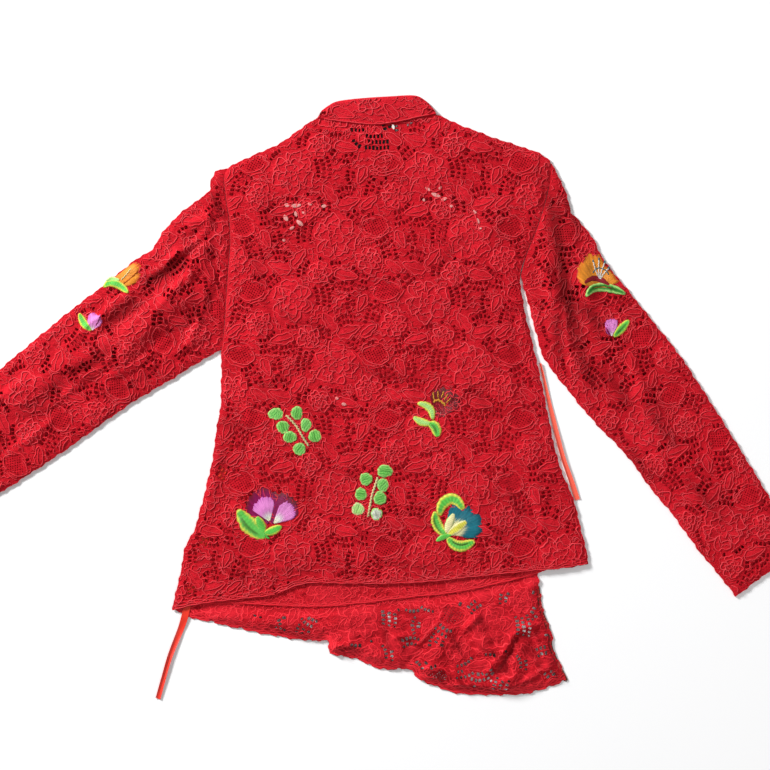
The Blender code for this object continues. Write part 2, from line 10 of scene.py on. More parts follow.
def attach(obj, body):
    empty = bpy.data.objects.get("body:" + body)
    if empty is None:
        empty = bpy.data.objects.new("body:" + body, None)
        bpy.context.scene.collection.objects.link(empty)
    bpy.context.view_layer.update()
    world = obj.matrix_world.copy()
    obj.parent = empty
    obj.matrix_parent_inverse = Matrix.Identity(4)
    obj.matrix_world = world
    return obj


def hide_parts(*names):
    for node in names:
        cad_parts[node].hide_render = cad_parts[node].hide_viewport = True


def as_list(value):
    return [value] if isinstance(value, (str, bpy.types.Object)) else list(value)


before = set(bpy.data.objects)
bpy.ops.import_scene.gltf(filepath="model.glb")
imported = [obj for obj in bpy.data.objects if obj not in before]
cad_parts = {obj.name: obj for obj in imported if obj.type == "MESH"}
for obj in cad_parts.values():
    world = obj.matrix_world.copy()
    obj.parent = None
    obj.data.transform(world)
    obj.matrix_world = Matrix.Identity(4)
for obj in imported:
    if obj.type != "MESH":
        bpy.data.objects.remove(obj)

started = time.time()


def report(*words):
    print(*words, round(time.time() - started, 1))


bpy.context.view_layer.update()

# Garment millimetres: x to the right, down from the nape. napeX and napeY place the nape in the frame.
napeX, napeY = 55.5, 342.0
mm = 0.001


def toWorld(points, height):
    # garment millimetres and a height to metres in the frame
    points = np.asarray(points, float)
    return np.stack([(points[..., 0] + napeX) * mm, (napeY - points[..., 1]) * mm, np.asarray(height) * mm],
                    -1)


def toGarment(vertices):
    # metres in the frame back to garment millimetres
    return np.stack([vertices[:, 0] / mm - napeX, napeY - vertices[:, 1] / mm], -1)


def at(px, py):
    # a spot read off the photograph, 1.25 mm to a pixel, in garment millimetres
    return np.stack([(np.asarray(px, float) - 378) * 1.25, (np.asarray(py, float) - 124) * 1.25], -1)


# camera and light
studio = {
    "lens": 89.8,
    "cameraPlace": (0.06425, 0.01575, 2.405),
    "floorColour": (0.93, 0.93, 0.935, 1),
    "floorSink": -0.0003,  # keeps the floor clear of the cloth's underside
    "worldStrength": 0.30,
    "lamps": [  # name, place, aim, size, watts
        ("keyLamp", (-2.9, 2.3, 1.75), (0.05, 0.0, 0.0), 1.0, 290.0),
        ("fillLamp", (1.3, -0.7, 1.9), (0.05, 0.0, 0.0), 1.6, 13.0),
    ],
}
camera = bpy.data.cameras.new("camera")
camera.sensor_fit = "HORIZONTAL"
camera.sensor_width = 36.0
camera.lens = studio["lens"]
cameraObject = bpy.data.objects.new("camera", camera)
cameraObject.location = studio["cameraPlace"]
bpy.context.scene.collection.objects.link(cameraObject)
bpy.context.scene.camera = cameraObject
bpy.context.scene.view_settings.view_transform = "Standard"


def areaLamp(name, place, aim, size, watts):
    lamp = bpy.data.lights.new(name, "AREA")
    lamp.shape = "DISK"
    lamp.size = size
    lamp.energy = watts
    made = bpy.data.objects.new(name, lamp)
    made.location = place
    made.rotation_euler = (Vector(aim) - Vector(place)).to_track_quat("-Z", "Y").to_euler()
    bpy.context.scene.collection.objects.link(made)


for row in studio["lamps"]:
    areaLamp(*row)
world = bpy.data.worlds.new("studio")
world.use_nodes = True
sky = world.node_tree.nodes["Background"]
sky.inputs["Color"].default_value = (1, 1, 1, 1)
sky.inputs["Strength"].default_value = studio["worldStrength"]
bpy.context.scene.world = world


# node groups and materials
def newGroup(name, inputs, outputs):
    group = bpy.data.node_groups.new(name, "ShaderNodeTree")
    for label, kind, value in inputs:
        socket = group.interface.new_socket(label, in_out="INPUT", socket_type=kind)
        if value is not None:
            socket.default_value = value
    for label, kind in outputs:
        group.interface.new_socket(label, in_out="OUTPUT", socket_type=kind)
    return group, group.nodes.new("NodeGroupInput"), group.nodes.new("NodeGroupOutput")


def mathNode(tree, operation, *values):
    node = tree.nodes.new("ShaderNodeMath")
    node.operation = operation
    for socket, value in zip(node.inputs, values):
        if isinstance(value, (int, float)):
            socket.default_value = value
        else:
            tree.links.new(value, socket)
    return node.outputs[0]


def mixColour(tree, share, one, two):
    node = tree.nodes.new("ShaderNodeMix")
    node.data_type = "RGBA"
    for socket, value in ((node.inputs[0], share), (node.inputs[6], one), (node.inputs[7], two)):
        if isinstance(value, (int, float)) or (isinstance(value, tuple) and len(value) == 4):
            socket.default_value = value
        else:
            tree.links.new(value, socket)
    return node.outputs[2]


def clamped(tree, value):
    node = tree.nodes.new("ShaderNodeClamp")
    tree.links.new(value, node.inputs[0])
    return node.outputs[0]


def beyond(tree, value, start, gain):
    # how far the value lies over its start, times the gain, kept from 0 to 1
    return clamped(tree, mathNode(tree, "MULTIPLY", mathNode(tree, "SUBTRACT", value, start), gain))


def attributeNode(tree, name):
    node = tree.nodes.new("ShaderNodeAttribute")
    node.attribute_name = name
    return node


def runMap(tree):
    node = tree.nodes.new("ShaderNodeUVMap")
    node.uv_map = "run"
    return node


def makeKnitGroup():
    # fine raschel ribs crossed with soft noise, for all the lace and the collar
    group, given, out = newGroup("knitGround", [("Vector", "NodeSocketVector", None),
                                                ("Rib", "NodeSocketFloat", 0.75)],
                                 [("Height", "NodeSocketFloat"), ("Shade", "NodeSocketFloat")])
    split = group.nodes.new("ShaderNodeSeparateXYZ")
    group.links.new(given.outputs["Vector"], split.inputs[0])
    grain = group.nodes.new("ShaderNodeTexNoise")
    grain.inputs["Scale"].default_value, grain.inputs["Detail"].default_value = 900, 3
    group.links.new(given.outputs["Vector"], grain.inputs["Vector"])
    bent = mathNode(group, "MULTIPLY", grain.outputs[0], 1.6)
    waves = []
    for axis, pace in ((0, 6283.2), (1, 5200.0)):
        scaled = mathNode(group, "DIVIDE", mathNode(group, "MULTIPLY", split.outputs[axis], pace),
                          given.outputs["Rib"])
        waves.append(mathNode(group, "SINE", mathNode(group, "ADD", scaled, bent)))
    weave = mathNode(group, "MULTIPLY", *waves)
    height = mathNode(group, "ADD", mathNode(group, "MULTIPLY", weave, 0.5), grain.outputs[0])
    group.links.new(height, out.inputs["Height"])
    group.links.new(mathNode(group, "MULTIPLY_ADD", weave, 0.5, 0.5), out.inputs["Shade"])
    return group


def makeMottleGroup():
    # two sizes of soft cloud, for uneven dye and a handled surface
    group, given, out = newGroup("dyeMottle", [
        ("Vector", "NodeSocketVector", None), ("Patch", "NodeSocketFloat", 18.0),
        ("Fine", "NodeSocketFloat", 160.0)
    ],
                                 [("Cloud", "NodeSocketFloat")])
    parts = []
    for label, share in (("Patch", 0.6), ("Fine", 0.4)):
        cloud = group.nodes.new("ShaderNodeTexNoise")
        cloud.inputs["Detail"].default_value = 2
        group.links.new(given.outputs["Vector"], cloud.inputs["Vector"])
        group.links.new(given.outputs[label], cloud.inputs["Scale"])
        parts.append(mathNode(group, "MULTIPLY", cloud.outputs[0], share))
    group.links.new(mathNode(group, "ADD", *parts), out.inputs["Cloud"])
    return group


def makeStrandGroup():
    # twisted or laid threads: sine stripes across the piece's own UV, roughened by noise
    group, given, out = newGroup("laidThreads", [
        ("Vector", "NodeSocketVector", None), ("Count", "NodeSocketFloat", 10.0),
        ("Slant", "NodeSocketFloat", 0.0)
    ],
                                 [("Height", "NodeSocketFloat"), ("Shade", "NodeSocketFloat")])
    split = group.nodes.new("ShaderNodeSeparateXYZ")
    group.links.new(given.outputs["Vector"], split.inputs[0])
    along = mathNode(group, "MULTIPLY", split.outputs[0], given.outputs["Count"])
    slanted = mathNode(group, "ADD", along,
                       mathNode(group, "MULTIPLY", split.outputs[1], given.outputs["Slant"]))
    rough = group.nodes.new("ShaderNodeTexNoise")
    rough.inputs["Scale"].default_value = 6.0
    group.links.new(given.outputs["Vector"], rough.inputs["Vector"])
    phase = mathNode(group, "MULTIPLY", mathNode(group, "ADD", slanted, rough.outputs[0]), 6.2832)
    stripe = mathNode(group, "MULTIPLY_ADD", mathNode(group, "SINE", phase), 0.5, 0.5)
    group.links.new(stripe, out.inputs["Height"])
    group.links.new(mathNode(group, "MULTIPLY", stripe, rough.outputs[0]), out.inputs["Shade"])
    return group


knitGround, dyeMottle, laidThreads = makeKnitGroup(), makeMottleGroup(), makeStrandGroup()


def newMaterial(name, roughness, sheen=0.0, specular=0.5, sheenTint=(0.9, 0.06, 0.07, 1)):
    made = bpy.data.materials.new(name)
    made.use_nodes = True
    tree = made.node_tree
    shader = tree.nodes["Principled BSDF"]
    shader.inputs["Roughness"].default_value = roughness
    shader.inputs["Sheen Weight"].default_value = sheen
    shader.inputs["Sheen Roughness"].default_value = 0.4
    shader.inputs["Sheen Tint"].default_value = sheenTint
    shader.inputs["Specular IOR Level"].default_value = specular
    coordinates = tree.nodes.new("ShaderNodeTexCoord")
    return made, tree, shader, coordinates


def groupNode(tree, group, vector, **values):
    node = tree.nodes.new("ShaderNodeGroup")
    node.node_tree = group
    tree.links.new(vector, node.inputs["Vector"])
    for label, value in values.items():
        node.inputs[label].default_value = value
    return node


def bumpInto(tree, shader, height, strength, distance):
    bump = tree.nodes.new("ShaderNodeBump")
    bump.inputs["Strength"].default_value = strength
    bump.inputs["Distance"].default_value = distance
    tree.links.new(height, bump.inputs["Height"])
    tree.links.new(bump.outputs[0], shader.inputs["Normal"])


def hollowShaded(tree, colour):
    # painted shade: deep hollows of the drape (attribute) take a darker red, on the cloth and its cords
    # alike
    return mixColour(tree, clamped(tree, attributeNode(tree, "hollow").outputs["Fac"]), colour,
                     laceDyesAndShades["deep"])


def laceMaterial(name, ground, motif, shadow):
    # lace cloth: the ground dye, a brighter one on the motifs (attribute), clouds and fine ribs
    made, tree, shader, coordinates = newMaterial(name, roughness=0.8, sheen=0.10, specular=0.12)
    mask = attributeNode(tree, "motif")
    knit = groupNode(tree, knitGround, coordinates.outputs["Object"], Rib=0.8)
    mottle = groupNode(tree, dyeMottle, coordinates.outputs["Object"], Patch=22.0, Fine=210.0)
    base = mixColour(tree, mask.outputs["Fac"], ground, motif)
    clouded = clamped(tree,
                      mathNode(tree, "MULTIPLY", mathNode(tree, "SUBTRACT", 0.72, mottle.outputs["Cloud"]),
                               1.7))
    base = mixColour(tree, clouded, base, shadow)
    base = mixColour(tree, mathNode(tree, "MULTIPLY", knit.outputs["Shade"], 0.16), base, shadow)
    stretch = tree.nodes.new("ShaderNodeMapping")
    stretch.inputs["Scale"].default_value = (0.6, 1.35, 1.0)
    tree.links.new(coordinates.outputs["Object"], stretch.inputs["Vector"])
    crinkle = groupNode(tree, dyeMottle, stretch.outputs[0], Patch=170.0, Fine=460.0)
    # painted shade: where the crinkle's bump sinks, the cloth takes the shadow red
    pressed = clamped(tree,
                      mathNode(tree, "MULTIPLY", mathNode(tree, "SUBTRACT", 0.50, crinkle.outputs["Cloud"]),
                               3.4))
    base = mixColour(tree, pressed, base, shadow)
    # painted light: where the mask is 2, under another layer, the cloth takes a brighter red
    paintedLightBeneath = clamped(tree, mathNode(tree, "SUBTRACT", mask.outputs["Fac"], 1.0))
    base = mixColour(tree, paintedLightBeneath, base, laceDyesAndShades["paintedLightBeneath"])
    tree.links.new(hollowShaded(tree, base), shader.inputs["Base Color"])
    fine = mathNode(tree, "MULTIPLY", knit.outputs["Height"], 0.25)
    relief = mathNode(tree, "ADD", fine, mathNode(tree, "MULTIPLY", crinkle.outputs["Cloud"], 3.0))
    bumpInto(tree, shader, relief, strength=0.9, distance=0.0011)
    return made


def cordMaterial(name, dark, middle, light):
    # gimp cord: UV runs along and across; painted shade at its foot, a painted highlight on its crest,
    # twisted
    made, tree, shader, coordinates = newMaterial(name, roughness=0.62, sheen=0.12, specular=0.22)
    uv = runMap(tree)
    split = tree.nodes.new("ShaderNodeSeparateXYZ")
    tree.links.new(uv.outputs[0], split.inputs[0])
    ramp = tree.nodes.new("ShaderNodeValToRGB")
    stops = ramp.color_ramp.elements
    stops[0].color = stops[1].color = dark  # at 0 and at 1
    for position, colour in ((0.22, dark), (0.34, middle), (0.46, light), (0.58, light), (0.70, middle),
                             (0.84, dark)):
        ramp.color_ramp.elements.new(position).color = colour
    tree.links.new(split.outputs[1], ramp.inputs[0])
    strands = groupNode(tree, laidThreads, uv.outputs[0], Count=9.0, Slant=1.4)
    mottle = groupNode(tree, dyeMottle, coordinates.outputs["Object"], Patch=60.0, Fine=400.0)
    faded = beyond(tree, mottle.outputs["Cloud"], 0.40, 3.6)
    tree.links.new(hollowShaded(tree, mixColour(tree, faded, ramp.outputs[0], middle)),
                   shader.inputs["Base Color"])
    bumpInto(tree, shader, strands.outputs["Height"], strength=0.4, distance=0.0002)
    return made


def threadMaterial(name):
    # embroidery: the dye is a colour attribute, the laid threads shade and raise it
    made, tree, shader, coordinates = newMaterial(name, roughness=0.42, specular=0.14)
    dye = attributeNode(tree, "dye")
    strands = groupNode(tree, laidThreads, runMap(tree).outputs[0], Count=10.0, Slant=0.5)
    dark = mixColour(tree, 0.42, dye.outputs["Color"], (0.02, 0.03, 0.02, 1))
    share = mathNode(tree, "MULTIPLY", mathNode(tree, "SUBTRACT", 1.0, strands.outputs["Height"]), 0.75)
    tree.links.new(mixColour(tree, share, dye.outputs["Color"], dark), shader.inputs["Base Color"])
    bumpInto(tree, shader, strands.outputs["Height"], strength=0.7, distance=0.0003)
    return made


def satinMaterial(name, colour, deep):
    # ribbon: a fine cross rib on the piece's own UV, with soft clouds of a deeper dye
    made, tree, shader, coordinates = newMaterial(name, roughness=0.42, specular=0.4)
    strands = groupNode(tree, laidThreads, runMap(tree).outputs[0], Count=16.0, Slant=0.0)
    mottle = groupNode(tree, dyeMottle, coordinates.outputs["Object"], Patch=40.0, Fine=300.0)
    share = mathNode(tree, "MULTIPLY", mottle.outputs["Cloud"], 0.5)
    tree.links.new(mixColour(tree, share, colour, deep), shader.inputs["Base Color"])
    bumpInto(tree, shader, strands.outputs["Height"], strength=0.3, distance=0.00015)
    return made


def labelMaterial(name, dark, worn):
    # a plain woven patch: laid threads shade and raise it
    made, tree, shader, coordinates = newMaterial(name, roughness=0.7, sheen=0.05, specular=0.3,
            sheenTint=(0.3, 0.3, 0.3, 1))
    strands = groupNode(tree, laidThreads, runMap(tree).outputs[0], Count=14.0, Slant=0.0)
    tree.links.new(mixColour(tree, strands.outputs["Shade"], dark, worn), shader.inputs["Base Color"])
    bumpInto(tree, shader, strands.outputs["Height"], strength=0.5, distance=0.0002)
    return made


laceDyesAndShades = {
    "ground": (0.70, 0.008, 0.021, 1), "motif": (0.80, 0.014, 0.030, 1), "shadow": (0.34, 0.002, 0.007, 1),
    "frontGround": (0.70, 0.010, 0.022, 1), "frontMotif": (0.80, 0.018, 0.034, 1),
    "frontShadow": (0.30, 0.002, 0.006, 1),
    # the cords' darkest red is painted shade at their feet, their lightest a painted highlight on their
    # crests
    "cordFootShade": (0.20, 0.001, 0.005, 1), "cordMiddle": (0.64, 0.010, 0.022, 1),
    "cordHighlight": (0.80, 0.058, 0.075, 1),
    "wrongSideShade": (0.42, 0.003, 0.010, 1), "wrongMiddle": (0.70, 0.010, 0.022, 1),
    "wrongSideHighlight": (0.80, 0.020, 0.036, 1),
    # deep, the darkest red, is painted shade for the drape's hollows
    # the brighter red for cloth hidden under another layer is painted light
    "paintedLightBeneath": (0.76, 0.018, 0.034, 1), "deep": (0.20, 0.001, 0.004, 1),
    "collarGround": (0.70, 0.012, 0.026, 1), "collarMotif": (0.74, 0.016, 0.032, 1),
    "collarShadow": (0.46, 0.004, 0.012, 1),
}


def dyedAndShaded(make, name, *labels):
    return make(name, *[laceDyesAndShades[label] for label in labels])


laceRed = dyedAndShaded(laceMaterial, "laceRed", "ground", "motif", "shadow")
laceFrontRed = dyedAndShaded(laceMaterial, "laceFrontRed", "frontGround", "frontMotif", "frontShadow")
collarRed = dyedAndShaded(laceMaterial, "collarRed", "collarGround", "collarMotif", "collarShadow")
cordRed = dyedAndShaded(cordMaterial, "cordRed", "cordFootShade", "cordMiddle", "cordHighlight")
wrongSideRed = dyedAndShaded(cordMaterial, "wrongSideRed", "wrongSideShade", "wrongMiddle", "wrongSideHighlight")
# the seam strip: painted shade at its feet and along its middle, the ground red on its crest
seamRed = dyedAndShaded(cordMaterial, "seamRed", "cordFootShade", "wrongSideShade", "ground")
embroideryThread = threadMaterial("embroideryThread")
labelBlack = labelMaterial("labelBlack", (0.010, 0.008, 0.009, 1), (0.05, 0.04, 0.042, 1))
orangeSatin = satinMaterial("orangeSatin", (0.83, 0.036, 0.014, 1), (0.58, 0.014, 0.008, 1))
coralSatin = satinMaterial("coralSatin", (0.93, 0.13, 0.075, 1), (0.72, 0.050, 0.032, 1))
report("materials")


# plane geometry helpers, all on whole arrays
def turned(points, degrees):
    c, s = math.cos(math.radians(degrees)), math.sin(math.radians(degrees))
    p = np.asarray(points, float)
    return np.stack([p[..., 0] * c - p[..., 1] * s, p[..., 0] * s + p[..., 1] * c], -1)


def inChunks(points, work, size=3000):
    points = np.atleast_2d(points)
    if not len(points):
        return np.zeros(0)
    return np.concatenate([work(points[i:i + size]) for i in range(0, len(points), size)])


def inside(points, loop):
    # true inside the closed loop: an odd number of edges lies to the point's right
    a, b = loop, np.roll(loop, -1, axis=0)
    rise = np.where(np.abs(b[:, 1] - a[:, 1]) < 1e-12, 1e-12, b[:, 1] - a[:, 1])

    def work(p):
        x, y = p[:, :1], p[:, 1:]
        meets = a[:, 0] + (b[:, 0] - a[:, 0]) * (y - a[:, 1]) / rise
        crosses = ((a[:, 1] > y) != (b[:, 1] > y)) & (x < meets)
        return crosses.sum(axis=1) % 2 == 1
    return inChunks(points, work).astype(bool)


def distance(points, line, closed=False):
    # distance from each point to the nearest straight piece of the line
    a = line if closed else line[:-1]
    b = np.roll(line, -1, axis=0) if closed else line[1:]
    run = b - a
    length = np.maximum((run ** 2).sum(-1), 1e-12)

    def work(p):
        dx, dy = p[:, :1] - a[:, 0], p[:, 1:] - a[:, 1]
        t = np.clip((dx * run[:, 0] + dy * run[:, 1]) / length, 0, 1)
        return np.sqrt(((dx - t * run[:, 0]) ** 2 + (dy - t * run[:, 1]) ** 2).min(axis=1))
    return inChunks(points, work)


def smooth(rows, step=4.0):
    # a cubic curve through the rows, its slope at each row that of its neighbours, with a point about every
    # step
    p = np.array(rows, float)
    padded = np.vstack([2 * p[0] - p[1], p, 2 * p[-1] - p[-2]])
    runs = []
    for i in range(len(p) - 1):
        a, b, c, d = padded[i:i + 4]
        count = max(1, int(round(np.hypot(*(c - b)[:2]) / step)))
        t = (np.arange(count) / count)[:, None]
        square, cube = 2 * a - 5 * b + 4 * c - d, 3 * b - a - 3 * c + d
        runs.append(0.5 * (2 * b + (c - a) * t + square * t * t + cube * t ** 3))
    return np.vstack(runs + [p[-1:]])


def joined(*lines):
    points = np.vstack(lines)
    keep = np.hypot(*(points - np.roll(points, 1, axis=0)).T) > 0.8
    return points[keep]


def runAlong(line):
    # the way covered from the line's start to each of its points
    return np.concatenate([[0], np.cumsum(np.hypot(*np.diff(line, axis=0).T))])


def unitHeading(line):
    heading = np.gradient(line, axis=0)
    return heading / np.maximum(np.hypot(*heading.T)[:, None], 1e-9)


def leftOf(heading):
    # each heading turned a quarter
    return np.stack([-heading[:, 1], heading[:, 0]], -1)


def hemAt(hem, points):
    # how far down the hem runs below each point
    return np.interp(points[:, 0], hem[:, 0], hem[:, 1])


def edgeAt(edge, points):
    # how far to the right the edge runs beside each point
    return np.interp(points[:, 1], edge[:, 1], edge[:, 0])


def eased(value):
    t = np.clip(value, 0, 1)
    return t * t * (3 - 2 * t)


def foldHeight(points, folds):
    # soft ridges: a bell across each fold, bent by its bow and faded out at its two ends
    height = np.zeros(len(points))
    for x, down, heading, long, wide, high, bow in folds:
        local = turned(points - [x, down], -heading)
        across = local[:, 1] - bow * (local[:, 0] / long) ** 2
        height += high * np.exp(-(across / wide) ** 2) * np.exp(-(local[:, 0] / long) ** 4)
    return height


def pucker(points, size=15.0, high=0.2, seed=3):
    # small uneven swellings: seven plane waves in scattered directions, added up
    rng = np.random.default_rng(seed)
    total = np.zeros(len(points))
    for k in range(7):
        angle, wave, start = rng.uniform(0, math.pi), size * rng.uniform(0.8, 2.2), rng.uniform(0, 6.28)
        along = points[:, 0] * math.cos(angle) + points[:, 1] * math.sin(angle)
        total += np.sin(along * 2 * math.pi / wave + start)
    return high * total / 2.6


# the cut of each piece: rows of x, down
cut = {
    "backLeft": [
        (-68.8, -8.8), (-81, -5), (-100, 7.5), (-116, 20), (-141, 32.5), (-170, 45), (-187.5, 55),
        (-192.5, 67.5), (-190, 95), (-186, 120), (-185, 151), (-187.5, 182.5), (-190, 220), (-192.5, 257.5),
        (-196, 282.5), (-196, 320), (-197.5, 357.5), (-202.5, 382.5), (-205, 407.5), (-210, 432.5),
        (-216, 457.5), (-222.5, 482.5), (-230, 507.5), (-242.5, 532.5), (-246, 557.5), (-252.5, 582.5),
        (-257.5, 609)
    ],
    "backHem": [(-257.5, 609), (-226, 601), (-179, 595), (-131, 589), (-91, 575), (-34, 575), (15, 575),
                (66, 572.5), (110, 567.5), (181, 560), (227.5, 556), (264, 550)],
    "backRight": [
        (71, -14), (89, -5), (120, 7.5), (154, 20), (192.5, 32.5), (209, 41), (216, 49), (212.5, 82.5),
        (200, 126), (185, 164), (178, 190), (181, 220), (186, 245), (192.5, 270), (197.5, 292.5), (204, 320),
        (209, 345), (214, 370), (219, 395), (225, 420), (234, 445), (245, 470), (251, 495), (257.5, 520),
        (264, 550)
    ],
    "backNeck": [(71, -14), (66, -17.5), (24, -9.5), (-2.5, -6), (-34, -8), (-65, -12.5), (-68.8, -8.8)],
    "overEdge": [
        (-65, -9), (-51, -1), (-45, 10), (-43, 24), (-14, 52), (34, 118), (90, 200), (152.5, 276),
        (183, 326), (189, 382.5), (193, 445), (197.5, 507.5), (200, 560), (203, 585), (206, 606), (213, 625),
        (218, 641), (219.5, 657.5), (237.5, 695)
    ],
    "overHem": [
        (237.5, 695), (192.5, 711), (145, 714), (95, 711), (65, 700), (50, 694), (37.5, 681), (7.5, 682.5),
        (-26, 670), (-47.5, 664.5), (-62, 661), (-62.5, 646), (-87.5, 646), (-135, 639), (-177.5, 630),
        (-210, 622.5), (-235, 617), (-252.5, 608)
    ],
    "underEdge": [
        (67.5, -11), (46, -3), (31, 8), (26, 24), (12, 52), (-30, 112), (-78, 185), (-135, 270), (-170, 326),
        (-176, 370), (-182, 407.5), (-193, 457.5), (-204, 507.5), (-213, 560), (-222.5, 601)
    ],
    "underHem": [(-222.5, 601), (-177.5, 600), (-84, 604), (-26, 600), (37.5, 592.5), (102.5, 585),
                 (181, 567.5), (225, 553), (260, 545)],
    "sleeveLeftTop": [
        (-204, 59), (-210, 72.5), (-211, 84), (-226, 95), (-242.5, 107.5), (-256, 120), (-267.5, 132.5),
        (-275, 145), (-284, 157.5), (-304, 170), (-320, 182.5), (-351, 207.5), (-384, 232.5), (-447.5, 285),
        (-510, 337.5), (-572.5, 390), (-637.5, 445)
    ],
    "sleeveLeftLow": [(-577.5, 525), (-510, 484), (-447.5, 445), (-391, 407.5), (-339, 370), (-302.5, 345),
                      (-260, 320), (-220, 295)],
    "sleeveRightTop": [
        (222.5, 57.5), (227.5, 70), (234, 82.5), (239, 97.5), (241, 110), (251, 120), (270, 145),
        (282.5, 170), (302.5, 195), (322.5, 220), (342.5, 245), (372.5, 282.5), (390, 307.5), (434, 376),
        (484, 457.5), (527.5, 531)
    ],
    "sleeveRightLow": [
        (447.5, 591), (427.5, 565), (402.5, 535), (382.5, 507.5), (364, 482.5), (342.5, 457.5), (325, 432.5),
        (305, 407.5), (280, 382.5), (257.5, 357.5), (237.5, 332.5), (217.5, 307.5), (208.5, 294)
    ],
    "slit": [(204.5, 286), (200, 270), (193.5, 245), (187, 220)],
}
leftSide, rightSide = smooth(cut["backLeft"]), smooth(cut["backRight"])
neck, backHem = smooth(cut["backNeck"]), smooth(cut["backHem"])
overEdge, overHem = smooth(cut["overEdge"]), smooth(cut["overHem"])
underEdge, underHem = smooth(cut["underEdge"]), smooth(cut["underHem"])
backLoop = joined(neck, leftSide[1:], backHem[1:], rightSide[::-1][1:-1])
overSide = smooth([(x + 1.2, down + 0.6) for x, down in cut["backLeft"][:-1]] + [(-252.5, 608)])
overLoop = joined(overEdge, overHem[1:], overSide[::-1])
underSide = smooth([(x - 1.2, down + 0.6) for x, down in cut["backRight"][:-1]] + [(260, 545)])
underLoop = joined(underEdge, underHem[1:], underSide[::-1])
armholeLeft = smooth(cut["backLeft"][6:15]) - [0.7, 0]
armholeRight = smooth(cut["backRight"][6:11]) + [0.7, 0]
sleeveLoops = {
    "left": joined(armholeLeft[::-1], smooth(cut["sleeveLeftTop"]), smooth(cut["sleeveLeftLow"])),
    "right": joined(smooth(cut["sleeveRightTop"]), smooth(cut["sleeveRightLow"]), smooth(cut["slit"]),
                    armholeRight[::-1]),
}

# how the cloth lies: x, down, heading, half length, half width, height, bow
folds = {
    "back": [
        (-120, 330, 12, 90, 22, 2.0, 6), (70, 470, -8, 110, 26, 1.8, -8), (-30, 180, -15, 80, 24, 1.6, 5),
        (120, 250, 62, 70, 16, 2.4, 4), (-60, 540, 8, 90, 20, 2.2, 6), (150, 520, 70, 60, 18, 2.0, -4),
        (-190, 520, 74, 60, 14, 1.6, 3), (-10, 60, 4, 90, 18, 1.4, 8), (-150, 110, 70, 50, 16, 1.8, 4),
        (150, 110, 115, 50, 16, 1.8, -4), (0, 400, 80, 70, 24, 1.5, 8), (200, 430, 80, 60, 14, 1.6, 3),
        (-160, 230, 78, 60, 9, 1.3, -6), (-40, 300, 25, 60, 9, 1.0, 9), (90, 340, -20, 55, 8, 1.1, -7),
        (-120, 470, -30, 60, 9, 1.2, 6), (30, 250, 60, 50, 8, 1.0, 5), (165, 300, 84, 60, 8, 1.5, 3)
    ],
    "left": [
        (-238, 190, 128, 60, 12, 4.2, 6), (-285, 255, 136, 90, 13, 4.4, -10),
        (-345, 285, 150, 80, 15, 3.6, 8), (-430, 330, 145, 70, 15, 3.0, 6),
        (-520, 410, 142, 70, 16, 2.6, -6), (-225, 120, 155, 40, 10, 2.6, 4), (-250, 285, 150, 50, 6, 1.8, 5),
        (-320, 225, 140, 55, 6, 1.6, -5), (-212, 215, 100, 40, 6, 1.5, 4)
    ],
    "right": [
        (246, 150, 66, 75, 11, 4.2, 5), (262, 240, 72, 70, 13, 3.8, -6), (215, 205, 78, 60, 10, 4.0, 6),
        (312, 290, 58, 70, 14, 3.4, 8), (360, 390, 54, 80, 15, 3.0, -8), (440, 500, 52, 70, 15, 2.6, 6),
        (290, 335, 48, 50, 6, 1.6, 5), (300, 220, 60, 45, 6, 1.6, -4), (335, 440, 50, 50, 6, 1.4, 4)
    ],
    "flap": [
        (-54, 655, 70, 16, 5, 3.2, 0), (-8, 660, 28, 40, 8, 3.6, 2), (24, 640, 78, 28, 9, 4.2, 0),
        (78, 656, 108, 42, 10, 4.8, 3), (128, 640, 68, 44, 10, 5.2, -3), (176, 664, 104, 40, 10, 4.8, 3),
        (118, 694, 8, 66, 8, 3.6, 2), (212, 662, 80, 30, 7, 2.6, 0), (-140, 624, 8, 60, 8, 2.4, 2),
        (-92, 634, 28, 30, 8, 2.2, 0), (52, 672, 150, 22, 5, 1.6, 2), (150, 668, 20, 26, 5, 1.5, -2),
        (100, 650, 40, 20, 4, 1.2, 1), (-30, 640, 60, 18, 5, 1.2, 0)
    ],
}
